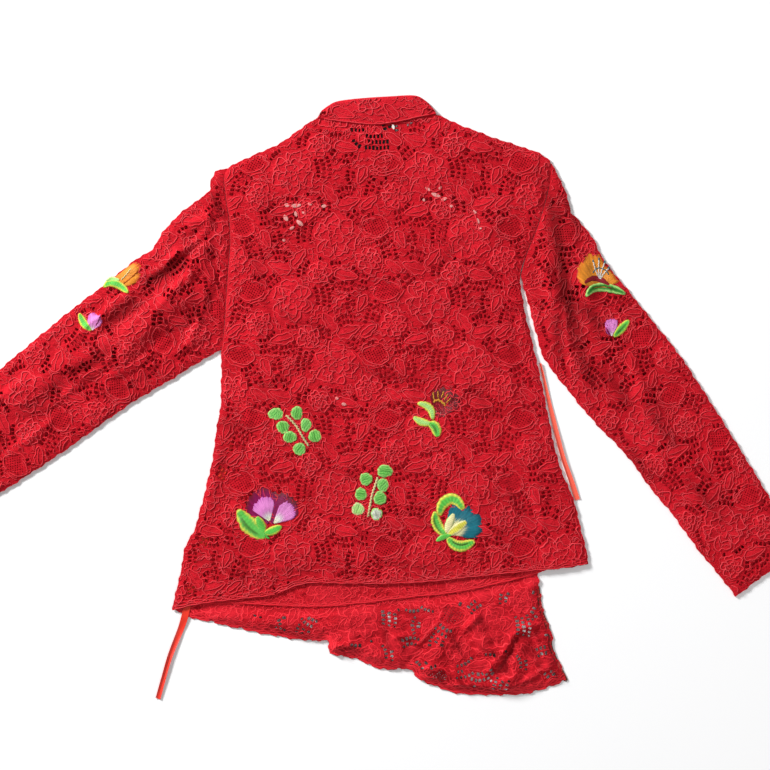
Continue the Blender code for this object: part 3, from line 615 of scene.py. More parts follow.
creases = {  # narrower than the folds, pressed in by handling
    "back": [
        (-150, 210, 66, 38, 5, 1.0, 4), (-110, 255, 40, 34, 4, 0.8, -5), (-165, 340, 80, 44, 5, 1.0, 3),
        (-70, 395, 18, 46, 5, 0.9, 6), (20, 345, -12, 40, 4, 0.8, 5), (110, 390, 30, 42, 5, 0.9, -6),
        (160, 240, 74, 34, 4, 1.0, 3), (60, 140, 20, 40, 5, 0.8, -4), (-90, 120, -24, 44, 5, 0.9, 5),
        (130, 480, 62, 40, 5, 1.0, -4), (-20, 510, 6, 50, 5, 0.9, 6), (-160, 560, 16, 44, 5, 1.0, -4),
        (205, 500, 78, 36, 5, 1.1, 3), (40, 250, 46, 36, 4, 0.8, 4), (-40, 220, -38, 40, 4, 0.7, -5)
    ],
    "left": [
        (-232, 150, 140, 34, 4, 1.5, 4), (-262, 215, 132, 44, 4.5, 1.6, -5), (-300, 300, 150, 40, 5, 1.4, 5),
        (-365, 255, 138, 40, 5, 1.3, -4), (-400, 345, 148, 44, 5, 1.2, 5), (-475, 345, 140, 40, 5, 1.2, -4),
        (-226, 250, 112, 34, 4, 1.5, 3), (-262, 172, 137, 36, 6, 2.6, 3), (-329, 222, 140, 28, 6, 2.2, -3),
        (-214, 108, 68, 20, 4.5, 1.6, 2), (-355, 310, 150, 34, 5, 1.6, 4), (-295, 240, 136, 30, 5, 1.8, 2),
        (-430, 390, 142, 34, 5, 1.4, 3)
    ],
    "right": [
        (252, 190, 62, 34, 4, 1.5, 4), (236, 260, 84, 36, 4, 1.4, -4), (290, 270, 56, 40, 5, 1.4, 5),
        (330, 330, 60, 38, 5, 1.2, -5), (345, 410, 48, 40, 5, 1.2, 4), (405, 440, 56, 40, 5, 1.1, -4),
        (268, 320, 40, 34, 4, 1.3, 3)
    ],
    "flap": [
        (66, 634, 128, 26, 3.2, 1.8, 3), (102, 662, 60, 26, 3.2, 2.0, -3), (142, 676, 118, 24, 3.2, 2.0, 2),
        (158, 634, 40, 28, 3.4, 2.0, 3), (196, 640, 70, 24, 3.2, 1.8, -2), (196, 688, 150, 24, 3.4, 1.8, 2),
        (20, 664, 50, 20, 3, 1.5, 2), (-36, 652, 100, 16, 3, 1.3, 1), (52, 650, 20, 22, 3, 1.5, -2),
        (128, 702, 4, 40, 3, 1.4, 2), (-120, 628, 20, 30, 3, 1.1, 2), (156, 660, 125, 24, 4.0, 3.6, 2),
        (180, 630, -24, 20, 4.0, 2.8, 4), (36, 639, 2, 15, 3.2, 2.2, 2), (-45, 651, -14, 15, 3.6, 2.4, 1),
        (71, 680, 6, 20, 3.6, 2.6, 2), (117, 622, -45, 13, 3.2, 2.2, 0), (135, 654, 25, 17, 3.6, 2.2, -2),
        (86, 640, 62, 18, 3.2, 2.2, 2), (205, 676, 28, 18, 3.4, 2.2, 2), (160, 694, -20, 16, 3.2, 2.0, 1),
        (98, 690, 70, 12, 3.0, 1.8, 1)
    ],
}
hollows = {  # where the drape sinks out of the light: as above, with the darkening as height
    "back": [
        (186, 232, 80, 36, 4, 0.7, 0), (205, 72, 80, 28, 6, 0.4, 0), (-179, 376, 10, 26, 8, 0.4, 3),
        (-120, 315, -30, 32, 6, 0.35, 4), (0, 312, 15, 42, 6, 0.3, -5), (-197, 440, 100, 42, 6, 0.45, 3),
        (90, 160, -50, 32, 6, 0.35, 4), (232, 420, 72, 32, 5, 0.4, 2), (-140, 560, -8, 52, 5, 0.4, 5),
        (40, 552, 6, 46, 4, 0.35, -4), (-90, 250, 20, 36, 6, 0.3, -4), (130, 345, 60, 34, 5, 0.35, 4),
        (170, 470, 66, 34, 5, 0.35, -3), (-30, 440, 12, 40, 6, 0.3, 4), (30, 215, 40, 30, 5, 0.3, 3),
        (-150, 180, 70, 30, 5, 0.35, 2)
    ],
    "left": [
        (-266, 185, 150, 34, 8, 0.95, 4), (-320, 235, 144, 28, 9, 0.8, -3), (-201, 101, 66, 18, 4, 0.8, 0),
        (-357, 297, 145, 30, 9, 0.6, 4), (-219, 226, 130, 24, 6, 0.55, 2), (-244, 250, 150, 30, 5, 0.45, 2),
        (-420, 345, 143, 36, 7, 0.45, 3), (-300, 320, 150, 30, 5, 0.4, -3), (-500, 420, 140, 38, 7, 0.4, 3),
        (-236, 140, 140, 20, 5, 0.5, 0)
    ],
    "right": [
        (226, 150, 80, 70, 9, 0.95, 3), (240, 235, 74, 40, 9, 0.9, -3), (266, 240, 50, 26, 9, 0.8, 3),
        (258, 300, 70, 32, 8, 0.75, 2), (222, 262, 80, 34, 6, 0.6, 0), (300, 330, 52, 34, 7, 0.6, 3),
        (350, 375, 56, 38, 8, 0.5, -3), (410, 470, 52, 38, 8, 0.5, 3), (328, 425, 50, 26, 7, 0.5, 2),
        (245, 115, 66, 22, 6, 0.7, 2)
    ],
    "flap": [
        (161, 667, 124, 24, 3.6, 0.85, 2), (182, 640, -16, 19, 3.0, 0.75, 3),
        (-46, 659, -16, 17, 4.0, 0.75, 0), (71, 688, 3, 20, 3.2, 0.75, 2), (36, 645, 0, 14, 2.6, 0.7, 0),
        (121, 626, -45, 14, 3.0, 0.65, 0), (96, 646, 64, 18, 3.0, 0.6, 2), (140, 661, 26, 16, 3.0, 0.55, -2),
        (198, 668, 70, 20, 3.2, 0.55, 2), (10, 640, 80, 20, 4.0, 0.6, 0), (60, 640, 126, 16, 3.0, 0.5, 0),
        (-100, 628, 6, 40, 3.5, 0.5, 2), (120, 704, 4, 50, 2.6, 0.6, 3), (180, 700, -14, 24, 2.6, 0.6, 2),
        (44, 612, 70, 14, 4.0, 0.5, 0)
    ],
}
level = {
    "front": 0.0, "under": 1.5, "seam": 1.5, "back": 3.0,  # undersides over the surface
    # widths of the rolled edge, of the slope and of the collar's seat
    "roll": 8.0, "ramp": 12.0, "collarLies": 13.0,
    "slack": 0.6, "backLoose": 34, "sleeveLoose": 22, "flapLift": 3.5,
    "backPressed": 1.3, "sleeveFolded": 1.2, "sleevePressed": 1.7, "flapPressed": 1.7,
}
overRun = np.vstack([overEdge[0] - [20, 37], overEdge])
flapRim = np.vstack([overEdge[overEdge[:, 1] > 578], overHem])
overSideShape = np.vstack([overRun, overRun[-1] + [0, 400], (-900, 1100), (-900, -400)])


def backUnderside(points):
    # rises from the seams over the rolled edge, then loosely over both fronts
    away = np.minimum(np.minimum(distance(points, leftSide), distance(points, rightSide)),
                      np.maximum(distance(points, neck) - level["collarLies"], 0))
    rise = eased(away / level["roll"]) * (level["back"] - level["seam"])
    bent = level["slack"] + foldHeight(points, folds["back"]) + level["backPressed"] * foldHeight(points,
            creases["back"])
    loose = eased((away - level["roll"]) / level["backLoose"]) * bent
    return level["seam"] + rise + loose + eased(away / 20) * np.maximum(pucker(points) + 0.2, 0)


def overUnderside(points):
    hems = np.maximum(hemAt(underHem, points), hemAt(backHem, points))
    free = eased((points[:, 1] - hems - 5) / 10)
    rim = distance(points, flapRim)
    loose = level["flapLift"] * eased((rim - 1) / 13)
    small = pucker(points, 13, 0.6, 8) + pucker(points, 6.5, 0.3, 12) + 0.35
    crumple = eased(rim / 8) * np.maximum(small, 0)
    fine = level["flapPressed"] * foldHeight(points, creases["flap"]) * eased(rim / 6)
    return level["front"] + free * (loose + foldHeight(points, folds["flap"]) + crumple + fine)


def underUnderside(points):
    away = distance(points, overRun)
    beyond = np.where(inside(points, overSideShape), -away, away)
    return level["under"] * (1 - np.clip((beyond - 1.5) / level["ramp"], 0, 1)) + level["front"]


def sleeveUnderside(side):
    loop = sleeveLoops[side]

    def work(points):
        away = distance(points, loop, True)
        rise = eased(away / level["roll"]) * (level["back"] - level["seam"])
        bent = level["slack"] + level["sleeveFolded"] * foldHeight(points, folds[side])
        bent = bent + level["sleevePressed"] * foldHeight(points, creases[side])
        loose = eased((away - level["roll"]) / level["sleeveLoose"]) * bent
        small = eased(away / 20) * np.maximum(pucker(points, 14, 0.3, 5) + 0.25, 0)
        return level["seam"] + rise + loose + small
    return work


# the lace repeat, in its own millimetres
lace = {
    "wide": 168.0, "high": 160.0,
    # x, y, radius, petals, turn, notch
    "flowers": [(-15, 1, 27, 5, 18, 0.20), (26, 30, 16.5, 6, 0, 0.15), (-49, -34, 14.5, 5, 40, 0.16)],
    "ovals": [(35, -11, 17, 11, 14)],  # x, y, half length, half width, tilt
    "leaves": [(-2, 49, 15, 6.5, 12), (-61, 28, 14, 6, -52), (1, -41, 15, 7, -18), (66, 4, 11, 6, 66),
               (27, -42, 12, 5.5, -40)],
    # x, y of the arc's middle, first radius, from, to, rows
    "ladders": [
        (-15, 1, 33, 74, 132, 2), (-15, 1, 32.5, 168, 214, 3), (-15, 1, 32, 292, 336, 2),
        (35, -11, 19, 30, 96, 2), (35, -11, 17, 196, 268, 2), (26, 30, 21, 86, 158, 3),
        (26, 30, 21, -34, 26, 3), (-49, -34, 19, -56, 14, 2), (-49, -34, 19, 120, 182, 2),
        (1, -41, 12, 206, 304, 2), (-61, 28, 12, 60, 190, 2), (-2, 49, 11, 40, 140, 2),
        (66, 4, 11, -40, 60, 2), (27, -42, 11, 250, 340, 2)
    ],
    "slotPitch": 5.1, "rowPitch": 7.2, "slotWide": 4.1, "slotHigh": 5.9,
    "slotsApart": 4.9, "slotFromMotif": 3.0, "neckSlot": (3.1, 5.4),
    "netWide": 3.9, "netHigh": 2.3, "netHole": (1.85, 2.2),
}


def flowerOutline(x, y, radius, petals, turn, notch, count=110):
    # radius swells once for each petal, to the power 0.6 so that the notches are sharp
    t = np.linspace(0, 2 * math.pi, count, endpoint=False)
    lobe = np.abs(np.sin(petals * (t - math.radians(turn)) / 2)) ** 0.6
    r = radius * (1 - notch + 1.35 * notch * lobe)
    return np.stack([x + r * np.cos(t), y + r * np.sin(t)], -1)


def ovalOutline(x, y, long, short, tilt, count=60):
    t = np.linspace(0, 2 * math.pi, count, endpoint=False)
    return turned(np.stack([long * np.cos(t), short * np.sin(t)], -1), tilt) + [x, y]


def images(points):
    # the half repeat and its eight neighbours: four mirrored at half steps, four at whole steps
    w, h = lace["wide"], lace["high"]
    p = np.asarray(points, float)
    found = [p] + [np.stack([-p[..., 0] + sx * w / 2, p[..., 1] + sy * h / 2], -1) for sx in (-1, 1)
                   for sy in (-1, 1)]
    return found + [p + shift for shift in ((w, 0), (-w, 0), (0, h), (0, -h))]


def repeatSlots():
    # slots along the ladders, less those that would touch a motif or another slot
    outlines = [flowerOutline(*row, count=72) for row in lace["flowers"]] + [ovalOutline(*row, count=48)
            for row in lace["ovals"]]
    outlines += [ovalOutline(x, y, a * 0.95, b * 0.9, tilt, count=48) for x, y, a, b, tilt in lace["leaves"]]
    motifs = [image for outline in outlines for image in images(outline)]
    kept = []
    for x, y, first, start, end, rows in lace["ladders"]:
        for row in range(rows):
            radius = first + row * lace["rowPitch"]
            count = max(2, int(math.radians(end - start) * radius / lace["slotPitch"]))
            middle = (count - 1) / 2
            for step in range(count):
                pitch = math.degrees(lace["slotPitch"] / radius)
                angle = math.radians((start + end) / 2 + (step - middle) * pitch)
                outer = abs(step - middle) / max(middle, 1)
                size = 1 - 0.22 * outer ** 2 - 0.05 * row
                spot = np.array([x + radius * math.cos(angle), y + radius * math.sin(angle)])
                if any(inside(spot, m)[0] or distance(spot, m, True)[0] < lace["slotFromMotif"]
                       for m in motifs):
                    continue
                if any(np.hypot(*(image - spot)) < lace["slotsApart"] for slot in kept
                       for image in images(slot[:2])):
                    continue
                kept.append((spot[0], spot[1], lace["slotWide"] * size, lace["slotHigh"] * size,
                             math.degrees(angle) + 90))
    return np.array(kept)


slotRows = repeatSlots()


def repeatNets():
    # diamond holes on a staggered lattice that fills each oval
    found = []
    for x, y, long, short, tilt in lace["ovals"]:
        columns = np.arange(-12, 13) * lace["netWide"]
        rows = np.arange(-9, 10)
        gridX, gridY = np.meshgrid(columns, rows)
        spots = np.stack([gridX + (gridY % 2) * lace["netWide"] / 2, gridY * lace["netHigh"]],
                         -1).reshape(-1, 2)
        bearing = np.arctan2(spots[:, 1], spots[:, 0])
        room = (spots[:, 0] / (long - 2.2)) ** 2 + (spots[:, 1] / (short - 2.0)) ** 2
        room = room * (1 + 0.35 * np.sin(2 * bearing + 0.6) + 0.25 * np.sin(3 * bearing + 2))
        found.append(turned(spots[room < 1], tilt) + [x, y])
    return np.vstack(found)


netSpots = repeatNets()
diamond = np.array([(-0.5, 0), (0, -0.5), (0.5, 0), (0, 0.5)]) * lace["netHole"]
slotShape = np.array([(-0.5, -0.40), (-0.02, -0.5), (0.5, -0.42), (0.5, 0.40), (0.02, 0.5), (-0.5, 0.42)])


def raggedSlots(rng):
    # each slot is a little narrower, turned and skewed by chance, as worked threads pull it
    made = []
    for x, y, w, h, angle in slotRows:
        shape = slotShape * [w * rng.uniform(0.88, 1.1), h * rng.uniform(0.9, 1.12)] + rng.uniform(-0.3, 0.3,
                (6, 2))
        made.append(turned(shape, angle + rng.uniform(-9, 9)) + [x, y] + rng.uniform(-0.3, 0.3, 2))
    return made


def wobbled(points, amount, rng):
    # two sines of unlike pace are added to each coordinate
    s = np.arange(len(points))
    a, b, c, d = rng.uniform(0, 6.28, 4)
    sideways = np.sin(s * 0.95 + a) + np.sin(s * 0.37 + b) + 0.9 * np.sin(s * 1.75 + d)
    downwards = np.sin(s * 0.85 + c) + np.sin(s * 0.31 + d) + 0.9 * np.sin(s * 1.6 + a)
    return points + amount * np.stack([sideways, downwards], -1)


def resampled(points, closed=False, step=2.6):
    line = np.vstack([points, points[:1]]) if closed else points
    run = runAlong(line)
    marks = np.linspace(0, run[-1], max(3, int(run[-1] / step)))
    return np.stack([np.interp(marks, run, line[:, k]) for k in (0, 1)], -1)


def packed(lines):
    # lines of (points, width) to arrays: points, unit headings, widths, and whether the next point follows
    # on
    points = np.vstack([line for line, wide in lines])
    heading = np.vstack([unitHeading(line) for line, wide in lines])
    wide = np.concatenate([np.full(len(line), wide) for line, wide in lines])
    follows = np.ones(len(points), bool)
    follows[np.cumsum([len(line) for line, wide in lines]) - 1] = False
    return points, heading, wide, follows


def peonyLines(radius, petals, seed):
    # each petal is an arc that curls inwards at both ends and is ruffled by two sines; three rings and a
    # curl
    rng = np.random.default_rng(seed)
    lines = []

    def ring(share, count, wide, spread, ruffle, cup):
        start = rng.uniform(0, 6.28)
        for k in range(count):
            middle = start + 2 * math.pi * (k + rng.uniform(-0.12, 0.12)) / count
            u = np.linspace(-1, 1, 26)
            a, b = rng.uniform(0, 6.28, 2)
            size = radius * share * rng.uniform(0.92, 1.06)
            curled = 1 - cup * np.abs(u) ** 3.4
            r = size * (curled + ruffle * np.sin(5.2 * u + a) + 0.55 * ruffle * np.sin(11.5 * u + b))
            angle = middle + u * math.pi / count * spread * rng.uniform(0.9, 1.1)
            arc = np.stack([r * np.cos(angle), r * np.sin(angle)], -1)
            lines.append((wobbled(resampled(arc, step=2.2), 0.32, rng), wide * rng.uniform(0.8, 1.15)))

    ring(0.97, petals + 1, 1.05, 1.12, 0.07, 0.42)
    if radius > 20:
        ring(0.80, petals, 0.6, 0.7, 0.08, 0.25)
    ring(0.66, petals, 0.85, 1.15, 0.10, 0.45)
    ring(0.38, max(3, petals - 1), 0.75, 1.2, 0.13, 0.5)
    t = np.linspace(0, 7, 12)
    r = radius * (0.04 + 0.018 * t)
    lines.append((np.stack([r * np.cos(t), r * np.sin(t)], -1), 0.7))
    return packed(lines)


def fixedLines():
    # leaf edges and veins and oval rings, in one half repeat
    rng = np.random.default_rng(11)
    lines = []

    def add(points, closed, wide, amount=0.25):
        lines.append((wobbled(resampled(points, closed), amount, rng), wide))

    for x, y, long, short, tilt in lace["ovals"]:
        add(ovalOutline(x, y, long, short, tilt), True, 0.9, 0.32)
        t = np.linspace(0.3, 5.4, 60)
        outer = np.stack([(long + 4.2) * np.cos(t), (short + 4.0) * np.sin(t)],
                         -1) * (1 + 0.07 * np.sin(7 * t))[:, None]
        add(turned(outer, tilt) + [x, y], False, 0.85, 0.35)
    for x, y, long, short, tilt in lace["leaves"]:
        t = np.linspace(0, 2 * math.pi, 60, endpoint=False)
        edge = np.stack([long * np.cos(t),
                         short * np.sin(t) * (1 - 0.35 * np.cos(t)) * (1 + 0.14 * np.sin(8 * t))], -1)
        add(turned(edge, tilt) + [x, y], True, 0.9, 0.38)
        vein = np.stack([np.linspace(-0.8, 0.75, 9) * long, 0.25 * short * np.sin(np.linspace(0, 3.1, 9))],
                        -1)
        add(turned(vein, tilt) + [x, y], False, 0.6, 0.2)
    return packed(lines)


cordFixed = fixedLines()
cordFlowers = [[peonyLines(row[2], row[3], 40 + 3 * k + variant) for variant in range(4)] for k,
               row in enumerate(lace["flowers"])]
report("lace repeat:", len(slotRows), "slots,", len(netSpots), "net holes")


def placements(loop, lay):
    # each half repeat that can reach the loop: its shift and whether it is mirrored
    origin, tilt = np.array(lay["origin"]), lay["tilt"]
    low, high = turned(loop - origin, -tilt).min(axis=0) - 95, turned(loop - origin, -tilt).max(axis=0) + 95
    w, h = lace["wide"], lace["high"]
    found = []
    for row in range(-8, 9):
        for column in range(-8, 9):
            for mirrored in (False, True):
                shift = np.array([column * w + mirrored * w / 2, row * h + mirrored * h / 2])
                if (shift > low).all() and (shift < high).all():
                    found.append((shift, mirrored))
    return found


def laid(points, shift, mirrored, lay, direction=False):
    # repeat millimetres to garment millimetres; a direction only turns
    p = points * [-1, 1] if mirrored else points
    return turned(p, lay["tilt"]) if direction else turned(p + shift, lay["tilt"]) + lay["origin"]


def motifField(points, lay):
    # mask and swelling of petals and leaves: each falls off from its middle, petals swell one by one
    w, h = lace["wide"], lace["high"]
    q = turned(points - np.array(lay["origin"]), -lay["tilt"])
    mask, swell = np.zeros(len(q)), np.zeros(len(q))
    for mirrored in (False, True):
        p = q - ([w / 2, h / 2] if mirrored else [0, 0])
        p = p - np.round(p / [w, h]) * [w, h]
        if mirrored:
            p = p * [-1, 1]
        for x, y, radius, petals, turn, notch in lace["flowers"]:
            d = p - [x, y]
            angle = np.arctan2(d[:, 1], d[:, 0])
            lobe = np.abs(np.sin(petals * (angle - math.radians(turn)) / 2)) ** 0.6
            share = np.hypot(*d.T) / (radius * (1 - notch + 1.35 * notch * lobe))
            mask = np.maximum(mask, eased((1.04 - share) / 0.1))
            swell = np.maximum(swell,
                               np.where(share < 1,
                                        0.55 * lobe * np.sin(np.clip(share, 0, 1) * math.pi) ** 0.8, 0))
        for x, y, long, short, tilt in lace["leaves"]:
            d = turned(p - [x, y], -tilt)
            share = np.hypot(d[:, 0] / long, d[:, 1] / short)
            mask = np.maximum(mask, eased((1.05 - share) / 0.15))
            swell = np.maximum(swell, np.where(share < 1, 0.45 * (1 - share ** 2), 0))
    return mask, swell


# mesh makers
def meshObject(name, vertices, faces, material, uv=None, colours=None, values=None, sharp=50, sunk=None):
    # faces is an array of triangles or quads, or a list of such arrays
    groups = faces if isinstance(faces, list) else [faces]
    groups = [np.asarray(g, np.int32) for g in groups if len(g)]
    mesh = bpy.data.meshes.new(name)
    mesh.vertices.add(len(vertices))
    mesh.vertices.foreach_set("co", np.asarray(vertices, np.float32).ravel())
    corners = np.concatenate([g.ravel() for g in groups])
    totals = np.concatenate([np.full(len(g), g.shape[1], np.int32) for g in groups])
    mesh.loops.add(len(corners))
    mesh.loops.foreach_set("vertex_index", corners)
    mesh.polygons.add(len(totals))
    mesh.polygons.foreach_set("loop_start", np.concatenate([[0], np.cumsum(totals)[:-1]]).astype(np.int32))
    mesh.polygons.foreach_set("loop_total", totals)
    mesh.update(calc_edges=True)
    mesh.validate()
    if uv is not None:
        layer = mesh.uv_layers.new(name="run")
        layer.data.foreach_set("uv", np.asarray(uv, np.float32)[corners].ravel())
    if colours is not None:
        layer = mesh.attributes.new("dye", "FLOAT_COLOR", "POINT")
        layer.data.foreach_set("color", np.asarray(colours, np.float32).ravel())
    if values is not None:
        layer = mesh.attributes.new("motif", "FLOAT", "POINT")
        layer.data.foreach_set("value", np.asarray(values, np.float32))
    # painted shade of the drape's hollows, kept as the attribute hollow
    if sunk is not None:
        layer = mesh.attributes.new("hollow", "FLOAT", "POINT")
        layer.data.foreach_set("value", hollowAt(vertices, sunk).astype(np.float32))
    mesh.shade_smooth()
    if sharp:
        mesh.set_sharp_from_angle(angle=math.radians(sharp))
    mesh.materials.append(material)
    made = bpy.data.objects.new(name, mesh)
    bpy.context.scene.collection.objects.link(made)
    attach(made, "root")
    return made


# painted shade: how much each vertex darkens in the listed hollows, from 0 to 1
def hollowAt(vertices, rows):
    points = toGarment(vertices)
    return np.clip(foldHeight(points, rows), 0, 1)


def polygonArea(loop):
    x, y = loop.T
    return abs(np.dot(x, np.roll(y, -1)) - np.dot(y, np.roll(x, -1))) / 2


def closeTo(points, spots, reach):
    # true for points within reach of a spot
    def work(p):
        return (((p[:, None] - spots[None]) ** 2).sum(-1) < reach ** 2).any(axis=1)
    return inChunks(points, work, 400)


def frayed(loop, amount=0.75):
    # a cut edge wanders by three sines, less near the armholes, where the next panel is sewn on
    line = resampled(loop, True, 2.6)[:-1]
    heading = np.roll(line, -1, axis=0) - np.roll(line, 1, axis=0)
    heading /= np.maximum(np.hypot(*heading.T)[:, None], 1e-9)
    s = np.arange(len(line))
    wander = np.sin(s * 0.9) + 0.7 * np.sin(s * 1.73 + 1) + 0.6 * np.sin(s * 0.41 + 2)
    room = eased((np.minimum(distance(line, armholeLeft), distance(line, armholeRight)) - 1.5) / 8)
    return line + leftOf(heading) * (amount * room * wander / 1.4)[:, None]


def gapRoom(holes):
    # each gap's middle and the room that it takes: slots have six corners, net holes four
    return np.array([h.mean(axis=0) for h in holes]), np.array([3.0 if len(h) == 6 else 1.5 for h in holes])


class Cloth:
    # the flat cut of one wall, its gaps cut out, and the heights of its two faces

    def __init__(self, loop, underside, lay, grid, wall=0.95, swollen=1.6, raised=1.0, fray=0.75, slim=1.0,
                 above=(), bare=None, extra=(), finer=None):
        self.loop, self.underside, self.lay = frayed(loop, fray), underside, lay
        self.wall, self.swollen, self.raised = wall, swollen, raised
        self.holes = self.gaps(slim, above, bare, extra)
        self.triangulate(self.clearOfGaps(self.lattice(grid, finer)))

    def lattice(self, grid, finer):
        # points in staggered rows, shaken a little, and a closer lattice where creases are narrow
        loop = self.loop
        low, high = loop.min(axis=0), loop.max(axis=0)
        columns, rows = np.arange(low[0], high[0], grid), np.arange(low[1], high[1], grid * 0.87)
        gx, gy = np.meshgrid(columns, np.arange(len(rows)))
        inner = np.stack([gx + (gy % 2) * grid / 2, rows[gy.astype(int)]], -1).reshape(-1, 2)
        inner += np.random.default_rng(5).uniform(-0.12, 0.12, inner.shape) * grid
        if finer is not None:
            fx, fy = np.meshgrid(np.arange(low[0], high[0], finer[0]), np.arange(low[1], high[1], finer[0]))
            close = np.stack([fx, fy], -1).reshape(-1, 2)
            close += np.random.default_rng(6).uniform(-0.2, 0.2, close.shape) * finer[0]
            inner = np.vstack([inner[~finer[1](inner)], close[finer[1](close)]])
        inner = inner[inside(inner, loop)]
        return inner[distance(inner, loop, True) > grid * 0.45]

    def gaps(self, slim, above, bare, extra, edge=4.0):
        # slots and net holes of every repeat, then those of the neck, less those that would harm the cloth
        loop, lay = self.loop, self.lay
        rng = np.random.default_rng(31)
        tilt = lace["ovals"][0][4]
        holes = []
        for shift, mirrored in placements(loop, lay):
            shapes = [laid(s, shift, mirrored, lay) for s in raggedSlots(rng)]
            nets = [turned(diamond * rng.uniform(0.7, 1.05), tilt) + spot for spot in netSpots]
            holes += [(s - s.mean(axis=0)) * slim + s.mean(axis=0) for s in shapes]
            holes += [laid(s, shift, mirrored, lay) for s in nets]
        if len(extra):
            wide, high = lace["neckSlot"]
            added = []
            for spot in extra:
                shape = slotShape * [wide * rng.uniform(0.8, 1.1), high * rng.uniform(0.85, 1.1)]
                added.append(turned(shape, rng.uniform(-8, 8)) + spot)
            holes = [h for h in holes if np.hypot(*(extra - h.mean(axis=0)).T).min() > high] + added
        middles, room = gapRoom(holes)
        ok = inside(middles, loop)
        ok[ok] = distance(middles[ok], loop, True) > edge + room[ok]
        if len(above):  # a lower layer keeps no gap right under one of the layer above
            ok &= ~closeTo(middles, np.array([h.mean(axis=0) for h in above]), 5.0)
        if bare is not None:
            ok &= ~bare(middles)
        return [h for h, good in zip(holes, ok) if good]

    def clearOfGaps(self, inner, block=1500, reach=12.0):
        # the lattice points that lie off every gap
        middles, room = gapRoom(self.holes)
        keep = np.ones(len(inner), bool)
        for start in range(0, len(inner), block):
            part = inner[start:start + block]
            half = (part[:, 1].max() - part[:, 1].min()) / 2
            near = np.abs(middles[:, 1] - part[:, 1].mean()) < half + reach
            if near.any():
                gap = np.sqrt(((part[:, None] - middles[near][None]) ** 2).sum(-1)) - room[near][None]
                keep[start:start + block] = gap.min(axis=1) > 0.55
        return inner[keep]

    def triangulate(self, inner):
        # an even triangle net over rim, gaps and lattice, without the faces that span a gap or leave the
        # loop
        loop, holes = self.loop, self.holes
        sizes = np.array([len(h) for h in holes], int)
        ring = np.arange(len(loop))
        edges = [np.stack([ring, np.roll(ring, -1)], -1)]
        starts = len(loop) + np.concatenate([[0], np.cumsum(sizes)[:-1]])
        for size in (4, 6):
            index = starts[sizes == size][:, None] + np.arange(size)
            edges.append(np.stack([index, np.roll(index, -1, axis=1)], -1).reshape(-1, 2))
        points = np.vstack([loop] + holes + [inner])
        owner = np.concatenate([np.full(len(loop), -1), np.repeat(np.arange(len(holes)), sizes),
                                np.full(len(inner), -1)])
        flat = delaunay_2d_cdt([Vector(p) for p in points], [tuple(map(int, e)) for e in np.vstack(edges)],
                               [], 1, 1e-5)
        self.points = np.array([tuple(p) for p in flat[0]])
        origins = np.array([ids[0] if len(ids) else -1 for ids in flat[3]])
        hole = np.where(origins >= 0, owner[origins], -1)
        faces = np.array(flat[2])
        a, b, c = hole[faces].T
        faces = faces[~((a >= 0) & (a == b) & (b == c))]
        faces = faces[inside(self.points[faces].mean(axis=1), loop)]
        p = self.points[faces]
        one, two = (p[:, 1] - p[:, 0]).T, (p[:, 2] - p[:, 0]).T
        turn = one[0] * two[1] - one[1] * two[0]
        faces[turn > 0] = faces[turn > 0][:, ::-1]  # down grows where +Y falls, so this winds them upwards
        self.faces = faces

    def top(self, points):
        height = self.underside(points) + self.wall
        if self.swollen:
            height = height + self.swollen * motifField(points,
                    self.lay)[1] * eased(distance(points, self.loop, True) / 6)
        return height

    def shell(self, hidden=None):
        # top and bottom faces with a wall along every cut edge
        # what lies hidden gets a mask of 2, which the lace material paints a brighter red as painted light
        n = len(self.points)
        high, low = self.top(self.points), self.underside(self.points)
        mask = motifField(self.points, self.lay)[0]
        if hidden is not None:
            mask = np.where(hidden(self.points), 2.0, mask)
        vertices = np.vstack([toWorld(self.points, high), toWorld(self.points, low)])
        f = self.faces
        sides = np.vstack([f[:, [0, 1]], f[:, [1, 2]], f[:, [2, 0]]])
        code = sides[:, 0].astype(np.int64) * n + sides[:, 1]
        back = sides[:, 1].astype(np.int64) * n + sides[:, 0]
        free = sides[~np.isin(code, back)]
        walls = np.stack([free[:, 1], free[:, 0], free[:, 0] + n, free[:, 1] + n], -1)
        return vertices, [np.vstack([f, f[:, ::-1] + n]), walls], np.concatenate([mask, mask])


def marked(spots, radius, low, shape, cell=0.5):
    # a raster of cells, true within the radius of any spot
    raster = np.zeros(shape, bool)
    reach = int(math.ceil(radius / cell))
    dx, dy = np.meshgrid(np.arange(-reach, reach + 1), np.arange(-reach, reach + 1))
    disc = np.stack([dx, dy], -1)[np.hypot(dx, dy) * cell <= radius]
    cells = (((spots - low) / cell).astype(int)[:, None] + disc[None]).reshape(-1, 2)
    cells = cells[((cells >= 0) & (cells < [shape[0], shape[1]])).all(axis=1)]
    raster[cells[:, 0], cells[:, 1]] = True
    return raster


def motifCords(cloth):
    # the fixed lines and one of four turned peonies for each flower, at every place of the repeat
    rng = np.random.default_rng(21)
    found = []
    for shift, mirrored in placements(cloth.loop, cloth.lay):
        sets = [(cordFixed, 0.0, np.zeros(2))]
        for row, variants in zip(lace["flowers"], cordFlowers):
            sets.append((variants[rng.integers(4)], rng.uniform(0, 360), np.array(row[:2])))
        for (points, heading, wide, follows), spin, centre in sets:
            found.append((laid(turned(points, spin) + centre, shift, mirrored, cloth.lay),
                          laid(turned(heading, spin), shift, mirrored, cloth.lay, True), wide, follows))
    return [np.concatenate(group) for group in zip(*found)]


